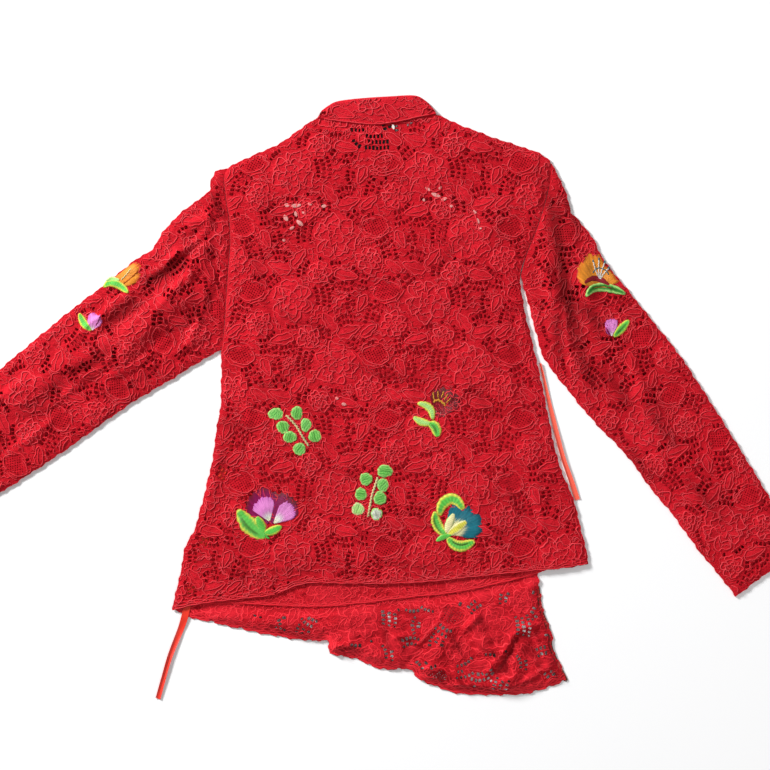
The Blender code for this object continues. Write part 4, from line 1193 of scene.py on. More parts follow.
def groundCords(cloth, spacing=8.2, seed=9, steps=13, stride=2.1):
    # short squiggles: each takes equal strides along a slowly turning direction, which a sine swings to and
    # fro
    rng = np.random.default_rng(seed)
    low, high = cloth.loop.min(axis=0), cloth.loop.max(axis=0)
    gx, gy = np.meshgrid(np.arange(low[0], high[0], spacing * 1.9),
                         np.arange(low[1], high[1], spacing * 0.56))
    p = np.stack([gx, gy], -1).reshape(-1, 2)
    p = p + rng.uniform(-2.6, 2.6, p.shape)
    lean, phase = rng.choice([0, 0, 0, 0, 0.4, -0.4], len(p)), rng.uniform(0, 6.28, len(p))
    line, headings = [], []
    for i in range(steps):
        flow = 0.55 * np.sin(p[:, 0] / 21 + p[:, 1] / 33) + 0.5 * np.sin(p[:, 1] / 17 - p[:, 0] / 29 + 1)
        angle = math.radians(cloth.lay["tilt"]) + flow + lean + 0.85 * np.sin(i * 1.15 + phase)
        heading = np.stack([np.cos(angle), np.sin(angle)], -1)
        line.append(p)
        headings.append(heading)
        p = p + stride * heading
    points, heading = np.stack(line, 1), np.stack(headings, 1)
    follows = np.ones(points.shape[:2], bool)
    follows[:, -1] = False
    wide = np.repeat(rng.uniform(0.5, 0.85, len(points))[:, None], steps, axis=1)
    return points.reshape(-1, 2), heading.reshape(-1, 2), wide.ravel(), follows.ravel()


def cordStrips(cloth, edge=1.6, ground=True):
    # motif cords clear of the holes, then squiggles clear of holes, motifs and other cords
    low = cloth.loop.min(axis=0) - 10
    shape = tuple(((cloth.loop.max(axis=0) + 10 - low) / 0.5).astype(int))
    middles = np.array([h.mean(axis=0) for h in cloth.holes]).reshape(-1, 2)
    slots = np.array([len(h) == 6 for h in cloth.holes], bool)
    taken = marked(middles[slots], 2.3, low, shape) | marked(middles[~slots], 1.7, low, shape)

    def free(points, raster):
        cells = np.clip(((points - low) / 0.5).astype(int), 0, np.array(shape) - 1)
        return ~raster[cells[:, 0], cells[:, 1]]

    p, t, w, follows = motifCords(cloth)
    ok = inside(p, cloth.loop) & free(p, taken)
    ok[ok] = distance(p[ok], cloth.loop, True) > edge
    motif = stripMesh(cloth, p, t, w, follows, ok)
    if not ground:
        return motif, None
    busy = taken | marked(p[ok], 1.1, low, shape)
    p, t, w, follows = groundCords(cloth)
    ok = inside(p, cloth.loop) & free(p, busy)
    ok[ok] = (distance(p[ok], cloth.loop, True) > edge) & (motifField(p[ok], cloth.lay)[0] < 0.3)
    return motif, stripMesh(cloth, p, t, w, follows, ok)


def stripMesh(cloth, p, t, w, follows, ok, arch=(-0.08, 0.92, 0.92, -0.08), reach=(-1.0, -0.36, 0.36, 1.0),
              across=(0, 0.38, 0.62, 1)):
    # a four point profile carried along every run: a flat foot, a crest and a foot sunk in the cloth; the
    # cord materials paint shade on the feet and a highlight on the crest
    segment = follows & ok
    segment[:-1] &= ok[1:]
    segment[-1] = False
    used = segment.copy()
    used[1:] |= segment[:-1]
    index = np.full(len(p), -1)
    index[used] = np.arange(used.sum())
    side = np.stack([-t[used, 1], t[used, 0]], -1)
    q = p[used][:, None, :] + side[:, None, :] * np.array(reach)[None, :, None] * w[used][:, None, None]
    size = len(reach)
    height = cloth.top(q.reshape(-1, 2)).reshape(-1,
            size) + np.array(arch) * (0.5 + 0.5 * w[used][:, None]) * cloth.raised
    vertices = toWorld(q.reshape(-1, 2), height.ravel())
    first = index[np.flatnonzero(segment)][:, None] * size + np.arange(size - 1)
    quads = np.stack([first, first + 1, first + size + 1, first + size], -1).reshape(-1, 4)
    step = np.hypot(*np.diff(p, axis=0, append=p[-1:]).T)
    run = np.cumsum(np.where(step < 20, step, 0))[used]
    uv = np.stack([np.repeat(run / 10, size), np.tile(across, used.sum())], -1)
    normal = np.cross(vertices[quads[:, 1]] - vertices[quads[:, 0]],
                      vertices[quads[:, 3]] - vertices[quads[:, 0]])
    quads[normal[:, 2] < 0] = quads[normal[:, 2] < 0][:, ::-1]
    return vertices, quads, uv


def cordPiece(name, mesh, keep=None, material=None, sunk=None):
    vertices, quads, uv = mesh
    if keep is not None:
        quads = quads[keep(vertices[quads[:, 0]])]
        used, back = np.unique(quads, return_inverse=True)
        vertices, uv, quads = vertices[used], uv[used], back.reshape(-1, 4)
    made = meshObject(name, vertices, quads, material or cordRed, uv=uv, sharp=0, sunk=sunk)
    report(name, len(quads) * 2, "triangles")
    return made


# panels
# lattice, how the repeat lies, then wall, swelling of the motifs, height of the cords, fraying, slots' width
panelLook = {
    "back": {"grid": 3.9, "lay": {"origin": (-38, 300), "tilt": 0}},
    "frontOver": {"grid": 5.2, "lay": {"origin": (38, 702), "tilt": 4},
                  "swollen": 1.0, "raised": 0.45, "fray": 1.2, "slim": 0.84},
    "frontUnder": {"grid": 6.5, "lay": {"origin": (-60, 420), "tilt": -5}, "wall": 1.0, "swollen": 0,
                   "raised": 0.45},
    "sleeveLeft": {"grid": 3.6, "lay": {"origin": (-300, 250), "tilt": 53}},
    "sleeveRight": {"grid": 3.6, "lay": {"origin": (250, 240), "tilt": -37}},
}

def openNeck(points):
    # between the two front edges, above their crossing and below the label, nothing lies under the back
    x, down = points.T
    across = (x > edgeAt(overEdge, points) - 3) & (x < edgeAt(underEdge, points) + 3)
    return across & (down > 31) & (down < 75)


def nearBand(points):
    # the over-wrap lies flat on the surface here, so its small gaps stay closed
    below = points[:, 1] - hemAt(underHem, points)
    return (below > -6) & (below < 13)


def onFlap(points):
    return points[:, 1] > hemAt(underHem, points) - 6


def keepFlap(vertices):
    # below the hems and clear of the smooth turned strip along the flap's edge
    points = toGarment(vertices)
    return (points[:, 1] > 560) & (distance(points, overEdge[overEdge[:, 1] > 560]) > 6.5)


def keepBand(vertices):
    # the only part of the under-wrap that shows
    return toGarment(vertices)[:, 1] > 545


def gapRow(x0, x1, y, bend):
    # a gently bowed row of gaps
    x = np.arange(x0, x1, 3.7)
    return at(x, y + bend * np.sin(np.linspace(0.3, 2.8, len(x))))


neckGaps = np.vstack([gapRow(352, 366, 129.5, 0.8), gapRow(367, 384, 135.5, 1.2),
                      gapRow(369, 389, 141.2, 1.0), gapRow(366, 391, 147, 1.0)])
backCloth = Cloth(backLoop, backUnderside, **panelLook["back"], bare=openNeck, extra=neckGaps)
vertices, faces, mask = backCloth.shell()
backPiece = meshObject("back_lace", vertices, faces, laceRed, values=mask, sunk=hollows["back"])
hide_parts("back")
motifMesh, groundMesh = cordStrips(backCloth)
cordPiece("back_cords", motifMesh, sunk=hollows["back"])
cordPiece("back_ground_cords", groundMesh, sunk=hollows["back"])
report("back:", len(backCloth.holes), "gaps", sum(len(f) for f in faces), "faces")

overCloth = Cloth(overLoop, overUnderside, **panelLook["frontOver"], above=backCloth.holes, bare=nearBand,
                  finer=(2.5, onFlap))
vertices, faces, mask = overCloth.shell(lambda p: p[:, 1] < hemAt(underHem, p) - 8)
overPiece = meshObject("front_over_lace", vertices, faces, laceFrontRed, values=mask, sunk=hollows["flap"])
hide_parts("front_over")
motifMesh, groundMesh = cordStrips(overCloth)
cordPiece("front_over_cords", motifMesh, keepFlap, wrongSideRed, hollows["flap"])
cordPiece("front_over_ground_cords", groundMesh, keepFlap, wrongSideRed, hollows["flap"])
report("over-wrap front:", len(overCloth.holes), "gaps")

underCloth = Cloth(underLoop, underUnderside, **panelLook["frontUnder"],
                   above=backCloth.holes + overCloth.holes)
vertices, faces, mask = underCloth.shell(lambda p: p[:, 1] < hemAt(backHem, p) - 8)
underPiece = meshObject("front_under_lace", vertices, faces, laceFrontRed, values=mask)
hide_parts("front_under")
motifMesh, groundMesh = cordStrips(underCloth)
cordPiece("front_under_cords", motifMesh, keepBand, wrongSideRed)
cordPiece("front_under_ground_cords", groundMesh, keepBand, wrongSideRed)
report("under-wrap front:", len(underCloth.holes), "gaps")

sleeveCloths, sleevePieces = {}, {}
for side, look in (("left", "sleeveLeft"), ("right", "sleeveRight")):
    loop, lay = sleeveLoops[side], panelLook[look]["lay"]
    upper = Cloth(loop, sleeveUnderside(side), **panelLook[look])
    lowerLay = {"origin": np.array(lay["origin"]) + [40, 25], "tilt": lay["tilt"] + 9}
    lower = Cloth(loop, lambda p: np.zeros(len(p)), lowerLay, 7.5, wall=1.0, swollen=0, above=upper.holes)
    upperVertices, upperFaces, upperMask = upper.shell()
    lowerVertices, lowerFaces, lowerMask = lower.shell(lambda p: np.ones(len(p), bool))
    shift = len(upperVertices)
    piece = meshObject(f"sleeve_{side}_lace", np.vstack([upperVertices, lowerVertices]),
                       [upperFaces[0], upperFaces[1], lowerFaces[0] + shift, lowerFaces[1] + shift], laceRed,
                       values=np.concatenate([upperMask, lowerMask]), sunk=hollows[side])
    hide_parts(f"sleeve_{side}_upper", f"sleeve_{side}_under")
    motifMesh, groundMesh = cordStrips(upper)
    cordPiece(f"sleeve_{side}_cords", motifMesh, sunk=hollows[side])
    cordPiece(f"sleeve_{side}_ground_cords", groundMesh, sunk=hollows[side])
    sleeveCloths[side], sleevePieces[side] = upper, piece
    report("sleeve", side, len(upper.holes), "gaps")

# embroidery: every patch is a small domed grid that stands on the cloth
def linear(colour):
    c = np.asarray(colour, float) / 255
    return np.where(c < 0.04045, c / 12.92, ((c + 0.055) / 1.055) ** 2.4)


threads = {  # dyes as seen, red green blue of 255
    "green": (98, 205, 78), "greenDeep": (52, 140, 44), "greenPale": (176, 232, 128),
    "yellow": (232, 226, 84),
    "cream": (246, 238, 176), "white": (250, 248, 240), "lilac": (236, 140, 214),
    "lilacDeep": (196, 92, 178), "plum": (142, 4, 84),
    "teal": (16, 116, 134), "tealDeep": (8, 70, 88), "orange": (244, 150, 44), "orangeDeep": (206, 96, 24),
    "crimson": (150, 14, 34),
    # slit is painted shade for the split in the satin, not a thread
    "crimsonDeep": (104, 4, 20), "amber": (240, 170, 50), "pale": (232, 152, 146), "slit": (60, 52, 20),
    "stem": (238, 222, 160),
    # the overlock's
    "brown": (112, 52, 40), "blush": (206, 92, 84), "needle": (96, 8, 16), "edge": (84, 30, 22),
}
dyes = {name: linear(colour) for name, colour in threads.items()}
sewn = {}


def sew(carrier, grid, height, colour, uv):
    # grid of garment points, its heights over the cloth, its dyes and thread coordinates
    cloth = {"back": backCloth, "left": sleeveCloths["left"], "right": sleeveCloths["right"]}[carrier]
    m, n = grid.shape[:2]
    flat = grid.reshape(-1, 2)
    z = cloth.top(flat) + height.ravel() + np.where(height.ravel() > 0, 0.42, 0)
    vertices = toWorld(flat, z)
    first = (np.arange(m - 1)[:, None] * n + np.arange(n - 1)).ravel()
    quads = np.stack([first, first + 1, first + n + 1, first + n], -1)
    normal = np.cross(vertices[quads[:, 2]] - vertices[quads[:, 0]],
                      vertices[quads[:, 3]] - vertices[quads[:, 1]])
    if normal[:, 2].sum() < 0:
        quads = quads[:, ::-1]
    dye = np.concatenate([colour.reshape(-1, 3), np.ones((m * n, 1))], 1)
    store = sewn.setdefault(carrier, [[], [], [], []])
    quads = quads + sum(len(v) for v in store[0])
    for part, new in zip(store, (vertices, quads, dye, uv.reshape(-1, 2))):
        part.append(new)


def softStep(low, high, value):
    return eased((value - low) / (high - low))


def satinLeaf(carrier, spine, half, inner, rim, lift=0.75, power=0.6, rimStart=0.5, seed=1, slit=None,
              lean=0.5):
    # width swells as sin^power from end to end; threads cross the spine; the dye changes towards the rim
    rng = np.random.default_rng(seed)
    line = smooth(at(*np.array(spine, float).T), 1.0)
    run = runAlong(line)
    s = np.linspace(0, 1, 25)
    centre = np.stack([np.interp(s * run[-1], run, line[:, k]) for k in (0, 1)], -1)
    side = leftOf(unitHeading(centre))
    t = np.linspace(-1, 1, 11)
    swell = np.sin(math.pi * np.clip(s, 0.015, 0.985)) ** power
    width = half * 1.25 * swell * (1 + rng.uniform(-0.05, 0.05, 25))
    grid = centre[:, None] + side[:, None] * (t[None, :, None] * width[:, None, None])
    away = np.maximum(np.abs(t)[None, :], (np.abs(2 * s - 1) ** 5)[:, None])
    height = lift * np.sqrt(np.clip(1 - away ** 2.4, 0, 1)) - 0.06 + 0.12 * (away < 0.99)
    share = softStep(rimStart, rimStart + 0.3, away + rng.uniform(-0.10, 0.10, (25, 1)))
    colour = dyes[inner] * (1 - share[..., None]) + dyes[rim] * share[..., None]
    # painted shade: the outermost ring is darkened, the shadow along the patch's edge
    colour = colour * np.where(away >= 0.995, 0.3, 1.0)[..., None]
    streak = 0.20 * np.sin(3.1 * np.arange(25) + rng.uniform(0, 6))[:, None] * (np.abs(t) < 0.95)[None]
    colour = colour * (1 + streak[..., None])
    # painted shade: along the slit the stitches dip and take the dark slit colour
    if slit:
        groove = np.exp(-((t[None, :] - slit) / 0.13) ** 2) * softStep(0.12, 0.3, s)[:,
                None] * softStep(0.10, 0.3, 1 - s)[:, None]
        height = height - 0.7 * lift * groove
        colour = colour * (1 - groove[..., None]) + dyes["slit"] * groove[..., None]
    u = np.repeat((s * run[-1] / 10)[:, None], 11, axis=1) + lean * np.abs(t)[None, :] * half / 14
    sew(carrier, grid, height, colour, np.stack([u, np.repeat(t[None, :] * half / 10, 25, axis=0)], -1))


def roundLeaf(carrier, x, y, wide, high, inner="green", rim="greenPale", turn=-30, seed=1, lift=0.85):
    # concentric rings on a polar grid, slightly heart shaped, threads slanting across
    rng = np.random.default_rng(seed)
    angle = np.linspace(0, 2 * math.pi, 25)
    r = np.array([0.02, 0.18, 0.34, 0.5, 0.64, 0.76, 0.86, 0.95, 1.02])
    wave = 1 + 0.05 * np.cos(angle * 3 + rng.uniform(0, 6)) + 0.035 * np.cos(angle * 7 + rng.uniform(0, 6))
    wave[-1] = wave[0]
    centre = at(x, y)
    local = np.stack([np.cos(angle) * wide, np.sin(angle) * high], -1) * 0.5 * 1.25 * wave[:, None]
    grid = centre + r[:, None, None] * local[None]
    dome = lift * np.sqrt(np.clip(1 - r ** 2.6, 0, 1)) + np.where(r < 0.99, 0.06, -0.08)
    height = np.repeat(dome[:, None], 25, axis=1)
    stitch = turned(grid - centre, turn)
    share = softStep(0.72, 0.84, r[:, None] + 0.08 * np.sin(angle * 5 + seed)[None])
    colour = dyes[inner] * (1 - share[..., None]) + dyes[rim] * share[..., None]
    pale = 0.5 + 0.5 * np.sin(stitch[..., 0] * 2.1 + seed + 0.8 * np.sin(stitch[..., 1] * 0.9))
    colour = colour * (1 - 0.5 * pale[..., None] ** 2) + dyes["greenPale"] * 0.5 * pale[..., None] ** 2
    colour = colour * (0.56 + 0.52 * pale[..., None])
    # painted shade: the outermost ring is darkened, the shadow along the patch's edge
    colour = colour * np.where(r >= 0.99, 0.3, 1.0)[:, None, None]
    vein = np.exp(-((stitch[..., 0] - 0.5 * math.sin(seed)) / 0.9) ** 2) * (r[:, None] < 0.7)
    vein = vein * (0.4 + 0.6 * abs(math.sin(seed * 2.3)))
    colour = colour * (1 - 0.40 * vein[..., None])
    height = height - 0.22 * vein
    sew(carrier, grid, height, colour, stitch / 10)


def fan(carrier, base, rays, stops, lift=0.8, inner=0.06, lobes=0, ragged=0.03, seed=1, clip=False):
    # threads fan out from the base; radius runs through the rays; the dye through the stops
    rng = np.random.default_rng(seed)
    rays = np.array(rays, float)
    angle = np.linspace(rays[0, 0], rays[-1, 0], 40)
    reach = np.interp(angle, rays[:, 0], rays[:, 1]) * (1 + rng.uniform(-ragged, ragged, 40))
    if lobes:
        reach = reach * (1 - 0.07 * (1 - np.abs(np.sin(lobes * math.pi * np.linspace(0, 1, 40))) ** 0.5))
    direction = np.stack([np.cos(np.radians(angle)), np.sin(np.radians(angle))], -1)
    origin = at(*base)
    if clip:  # stays on the cloth where the sleeve's folded edge cuts it
        loop = sleeveLoops[carrier]
        marks = np.linspace(0.05, 1, 24)[None, :, None]
        trial = origin + direction[:, None] * (marks * reach[:, None, None] * 1.25)
        within = inside(trial.reshape(-1, 2), loop).reshape(trial.shape[:2])
        within &= distance(trial.reshape(-1, 2), loop, True).reshape(within.shape) > 0.9
        reach = reach * np.maximum(np.cumprod(within, axis=1).sum(axis=1) / 24, 0.08)
    r = np.linspace(inner, 1, 15)
    grid = origin + direction[None] * (r[:, None, None] * reach[None, :, None] * 1.25)
    edge = np.minimum(np.linspace(0, 1, 40), 1 - np.linspace(0, 1, 40)) * 2
    dome = np.sqrt(np.clip(1 - (1 - np.clip(edge * 3.2, 0, 1)) ** 2, 0,
                           1))[None] * np.sqrt(np.clip(1 - r ** 6, 0, 1))[:, None]
    fold = 0.16 * np.sin(np.linspace(0, 1, 40) * math.pi * (2 * lobes + 3))[None] * r[:, None]
    height = lift * dome * (0.75 + 0.25 * r[:, None]) + fold * dome - 0.06 + 0.12 * (dome > 0.01)
    noise = r[:, None] + rng.uniform(-0.07, 0.07, 40)[None]
    places = [row[0] for row in stops]
    colour = np.stack([np.interp(noise, places, [dyes[row[1]][k] for row in stops]) for k in range(3)], -1)
    colour = colour * (1 + 0.14 * np.sin(np.arange(40) * 2.4 + seed))[None, :, None]
    u = np.radians(angle)[None] * reach.mean() * 1.25 / 10 * np.ones((15, 1))
    sew(carrier, grid, height, colour, np.stack([u, r[:, None] * reach[None] / 10], -1))


def sewnCord(carrier, points, half, dye, lift=0.9, twist=1.0):
    # a half round of thread along a line, its dye waving with the twist
    line = smooth(at(*np.array(points, float).T), 0.9)
    side = leftOf(unitHeading(line))
    run = runAlong(line)
    swing = 0.34 * np.sin(run * 1.5)
    t = np.linspace(-1, 1, 7)
    ends = np.sqrt(np.clip(np.minimum(run, run[-1] - run) / 1.2, 0.1, 1))
    grid = line[:, None] + side[:,
                                None] * ((t[None] * half * ends[:, None] + swing[:, None] * half)[..., None])
    height = lift * np.sqrt(np.clip(1 - t ** 2, 0, 1))[None] * ends[:,
            None] * (1 + 0.12 * np.sin(run * 4))[:, None] - 0.05
    colour = dyes[dye] * (1 - 0.55 * (0.5 + 0.5 * np.sin(run[:, None] * 2.4 * twist + 1.9 * t[None])))[...,
            None]
    sew(carrier, grid, height, colour,
        np.stack([run[:, None] / 10 + 0.05 * t[None], np.repeat(t[None] / 10, len(run), axis=0)], -1))


sprigs = [  # x, y, width, height of each leaf, then the stem
    ([(276, 414, 16, 12), (297, 413, 12, 14), (283, 427, 13, 13), (306, 425, 11, 14), (290, 437, 14, 12),
      (315, 436, 13, 13), (299.5, 449, 13, 13)],
      [(286, 415), (291, 420), (297, 427), (304, 439), (309, 446)]),
    ([(385, 471, 16, 13), (366, 479, 13, 13), (383, 485, 12, 14), (361, 494, 12, 13), (380, 498, 13, 14)],
     [(378, 477), (375, 486), (372, 495), (370, 506), (368, 517)]),
]
for k, (leafRows, stem) in enumerate(sprigs):
    for j, (x, y, wide, high) in enumerate(leafRows):
        roundLeaf("back", x, y, wide, high, turn=-35 + 25 * (j % 3) - 60 * k, seed=10 * k + j)
    sewnCord("back", stem, 1.5, "stem", 1.1)
roundLeaf("back", 358, 509, 13, 13, "greenPale", "cream", -20, 31)
roundLeaf("back", 376.5, 514, 12, 13, "white", "greenPale", 15, 32)

orangeFan = [(0, "orangeDeep"), (0.3, "orange"), (0.85, "orange"), (1, "orangeDeep")]
lilacBud = [(0, "white"), (0.35, "lilac"), (0.8, "lilac"), (1, "lilacDeep")]

# lilac flower
fan("back", (269, 525), [(-153, 25), (-142, 30), (-128, 34), (-112, 37), (-92, 38), (-80, 33), (-72, 33),
                         (-58, 37), (-42, 37), (-28, 34), (-16, 29)],
    [(0, "plum"), (0.8, "plum"), (1, "crimsonDeep")], 0.35, ragged=0.05, seed=3)
fan("back", (270, 522), [(-148, 22), (-132, 25), (-116, 26), (-100, 28), (-86, 25), (-74, 19)],
    [(0, "cream"), (0.25, "white"), (0.42, "lilac"), (0.8, "lilac"), (1, "lilacDeep")], 0.9, lobes=3,
    ragged=0.05, seed=4)
fan("back", (273, 524), [(-72, 20), (-60, 28), (-47, 29), (-34, 28), (-22, 26), (-12, 20)],
    [(0, "cream"), (0.28, "white"), (0.5, "lilac"), (0.82, "lilac"), (1, "lilacDeep")], 1.0, lobes=3,
    ragged=0.05, seed=5)
satinLeaf("back", [(267, 537), (259, 533), (250, 526), (243, 517), (238, 509)], 9.0, "green", "yellow", 1.0,
          0.55, 0.52, 6, slit=-0.28)
satinLeaf("back", [(264, 534), (261, 526), (257, 516)], 5.6, "green", "yellow", 1.1, 0.6, 0.5, 7)
satinLeaf("back", [(264, 533), (272, 531), (282, 526)], 4.8, "green", "yellow", 1.2, 0.6, 0.45, 8)
sewnCord("back", [(263, 531), (266, 535), (269, 539)], 1.6, "green", 1.2)

# teal flower
fan("back", (447, 534), [(-88, 24), (-76, 31), (-62, 34), (-48, 35), (-34, 36), (-20, 36), (-8, 36), (4, 33),
                         (12, 25)],
    [(0, "cream"), (0.42, "cream"), (0.56, "teal"), (0.85, "teal"), (1, "tealDeep")], 0.8, lobes=4,
    ragged=0.07, seed=9)
satinLeaf("back", [(446, 533), (449, 524), (454, 513)], 4.4, "cream", "greenPale", 1.3, 0.5, 0.6, 10)
satinLeaf("back", [(447, 535), (456, 529), (467, 521)], 5.2, "yellow", "cream", 1.4, 0.5, 0.35, 11)
satinLeaf("back", [(439, 516), (442, 505), (450, 499), (457, 501), (464, 510)], 6.2, "green", "yellow", 1.0,
          0.45, 0.35, 12)
satinLeaf("back", [(435, 511), (436, 521), (440, 529), (447, 536)], 5.6, "green", "yellow", 1.1, 0.5, 0.35,
          13, slit=0.3)
satinLeaf("back", [(447, 537), (454, 544), (463, 546), (475, 541)], 6.0, "green", "yellow", 1.1, 0.5, 0.42,
          14, slit=-0.2)
satinLeaf("back", [(436, 541), (443, 537), (452, 534)], 3.0, "green", "greenPale", 1.4, 0.5, 0.5, 15)

# small crimson flower
fan("back", (438, 418), [(-112, 24), (-96, 29), (-80, 31), (-64, 32), (-48, 31), (-34, 27), (-22, 20)],
    [(0, "crimson"), (0.45, "crimson"), (0.8, "crimsonDeep"), (1, "crimsonDeep")], 0.3, lobes=5, ragged=0.05,
    seed=16)
sewnCord("back", [(433, 402), (438, 400), (443, 403), (446, 406)], 1.7, "amber", 1.0)
for x0, y0, x1, y1 in ((434, 400, 433, 392), (438, 398, 438, 391), (441, 398, 444, 391),
                       (444, 400, 448, 394), (446, 403, 451, 398)):
    sewnCord("back", [(x0, y0), (x1, y1)], 0.9, "amber", 0.8)
for x0, y0, x1, y1 in ((437, 415, 436, 410), (440, 416, 441, 411), (443, 417, 446, 413)):
    sewnCord("back", [(x0, y0), (x1, y1)], 0.5, "pale", 0.5)
satinLeaf("back", [(433, 420), (431, 410), (425, 405), (417, 403)], 4.2, "greenPale", "yellow", 0.9, 0.5,
          0.4, 17)
satinLeaf("back", [(432, 424), (422, 422), (413, 417)], 4.2, "greenPale", "yellow", 0.9, 0.5, 0.4, 18)
satinLeaf("back", [(428, 423), (435, 427), (438, 437)], 5.6, "green", "yellow", 1.0, 0.45, 0.45, 19,
          slit=0.1)

# right sleeve
fan("right", (600, 292), [(-158, 23), (-145, 30), (-128, 36), (-110, 40), (-92, 40), (-74, 40), (-58, 38),
                          (-42, 34), (-28, 27)],
    orangeFan, 0.9, lobes=4, ragged=0.03, seed=20, clip=True)
for x1, y1 in ((593, 261), (599, 259), (605, 262), (609, 268)):
    sewnCord("right", [(600, 280), ((600 + x1) / 2 - 1, (280 + y1) / 2), (x1, y1)], 1.0, "white", 1.5)
    sewnCord("right", [(x1 - 1, y1 + 1.2), (x1 + 0.6, y1 - 1.2)], 1.5, "teal", 1.7)
sewnCord("right", [(592, 273), (598, 268), (605, 270), (609, 275)], 0.9, "teal", 1.6)
satinLeaf("right", [(583, 284), (591, 279), (601, 280), (612, 289)], 3.6, "crimson", "crimsonDeep", 1.2, 0.5,
          0.5, 21)
satinLeaf("right", [(585, 297), (592, 289), (602, 287), (613, 289), (626, 294)], 5.0, "greenDeep",
          "greenPale", 1.3, 0.5, 0.35, 22, slit=0.05)
fan("right", (611, 337), [(-122, 14), (-105, 18), (-88, 19), (-70, 18), (-58, 13)],
    lilacBud, 0.9, lobes=2, ragged=0.05, seed=23)
satinLeaf("right", [(613, 337), (620, 330), (629, 320)], 4.6, "green", "yellow", 1.0, 0.55, 0.42, 24,
          slit=0.1)
satinLeaf("right", [(610, 336), (607, 330), (607, 323)], 2.4, "plum", "lilacDeep", 0.7, 0.6, 0.5, 25)

# left sleeve
fan("left", (109, 287), [(-72, 20), (-60, 28), (-48, 36), (-36, 38), (-24, 36), (-12, 30), (-2, 22)],
    orangeFan, 0.9, lobes=3, ragged=0.03, seed=26, clip=True)
sewnCord("left", [(121, 280), (126, 275), (131.5, 268)], 0.9, "cream", 1.5)
sewnCord("left", [(123, 284), (131, 278), (138, 271)], 0.9, "orangeDeep", 1.5)
satinLeaf("left", [(103, 287), (110, 283), (119, 285), (129, 293)], 4.4, "green", "yellow", 1.3, 0.5, 0.38,
          27)
satinLeaf("left", [(106, 281), (112, 279), (120, 280)], 2.6, "greenPale", "cream", 1.2, 0.5, 0.5, 28)
fan("left", (92, 331), [(-118, 10), (-100, 17), (-82, 19), (-62, 18), (-44, 15), (-30, 11)],
    lilacBud, 0.9, lobes=2, ragged=0.05, seed=29)
satinLeaf("left", [(92, 331), (84, 323), (79, 313)], 4.2, "green", "yellow", 1.0, 0.55, 0.42, 30)
sewnCord("left", [(96, 326), (99, 321), (101, 316)], 0.7, "plum", 1.3)

# the backs of stitches worked on the layer below, pale through the lace
reverse = [
    (287, 205, 2.6, 1.4, 10), (296, 205.5, 5.5, 1.5, -8), (310, 204, 2.2, 1.2, 20),
    (324, 206, 2.6, 1.3, -15), (286, 218, 3.6, 1.6, 60), (300, 223, 4.4, 1.5, 40), (284, 240, 1.6, 1.1, 0),
    (296, 214, 3.0, 1.2, 75), (292, 228, 2.8, 1.1, -30), (304, 213, 2.2, 1.0, 30), (428, 189, 3.0, 1.2, 35),
    (436, 195, 5.0, 1.4, 20), (444, 199, 3.2, 1.2, -20), (451, 206, 1.8, 1.1, 0), (424, 200, 1.6, 1.0, 70),
    (475, 212, 2.4, 1.1, 50), (478, 221, 2.8, 1.2, 70), (480, 228, 1.8, 1.0, 20), (337, 398, 1.8, 1.1, 0),
    (344, 404, 2.6, 1.2, 15), (440, 188, 2.0, 1.0, -50), (393.4, 126.8, 2.6, 1.2, 78)
]
for k, (x, y, long, half, heading) in enumerate(reverse):
    c, s = math.cos(math.radians(heading)) * long, math.sin(math.radians(heading)) * long
    satinLeaf("back", [(x - c, y - s), (x, y + 0.3), (x + c, y + s)], half * 1.45,
              "pale" if k < 21 else "white", "pale", 0.28, 0.6, 0.5, 60 + k)

for carrier, parts in sewn.items():
    vertices, quads, dye, uv = [np.concatenate(p) for p in parts]
    name = "back_embroidery" if carrier == "back" else f"sleeve_{carrier}_embroidery"
    piece = meshObject(name, vertices, quads, embroideryThread, uv=uv, colours=dye, sharp=0)
report("embroidery", {k: sum(len(q) for q in p[1]) for k, p in sewn.items()})

# collar: the folded section run along its rows, fine and a little uneven
collarCut = {
    # rows across the collar: top x, top down, low x, low down
    "rows": [
        (-70, -17.5, -76, -7.5), (-61, -24, -62.5, -5.5), (-50, -29, -34, -1.5), (-22.5, -32.5, -2.5, 0.8),
        (15, -35, 24, -2.5), (46, -36, 52.5, -9), (60, -29, 65, -11.5), (70, -18.5, 73, -13)
    ],
    "leaf": 1.3, "upper": 3.0,  # thickness of the turned leaf and height of its underside
}


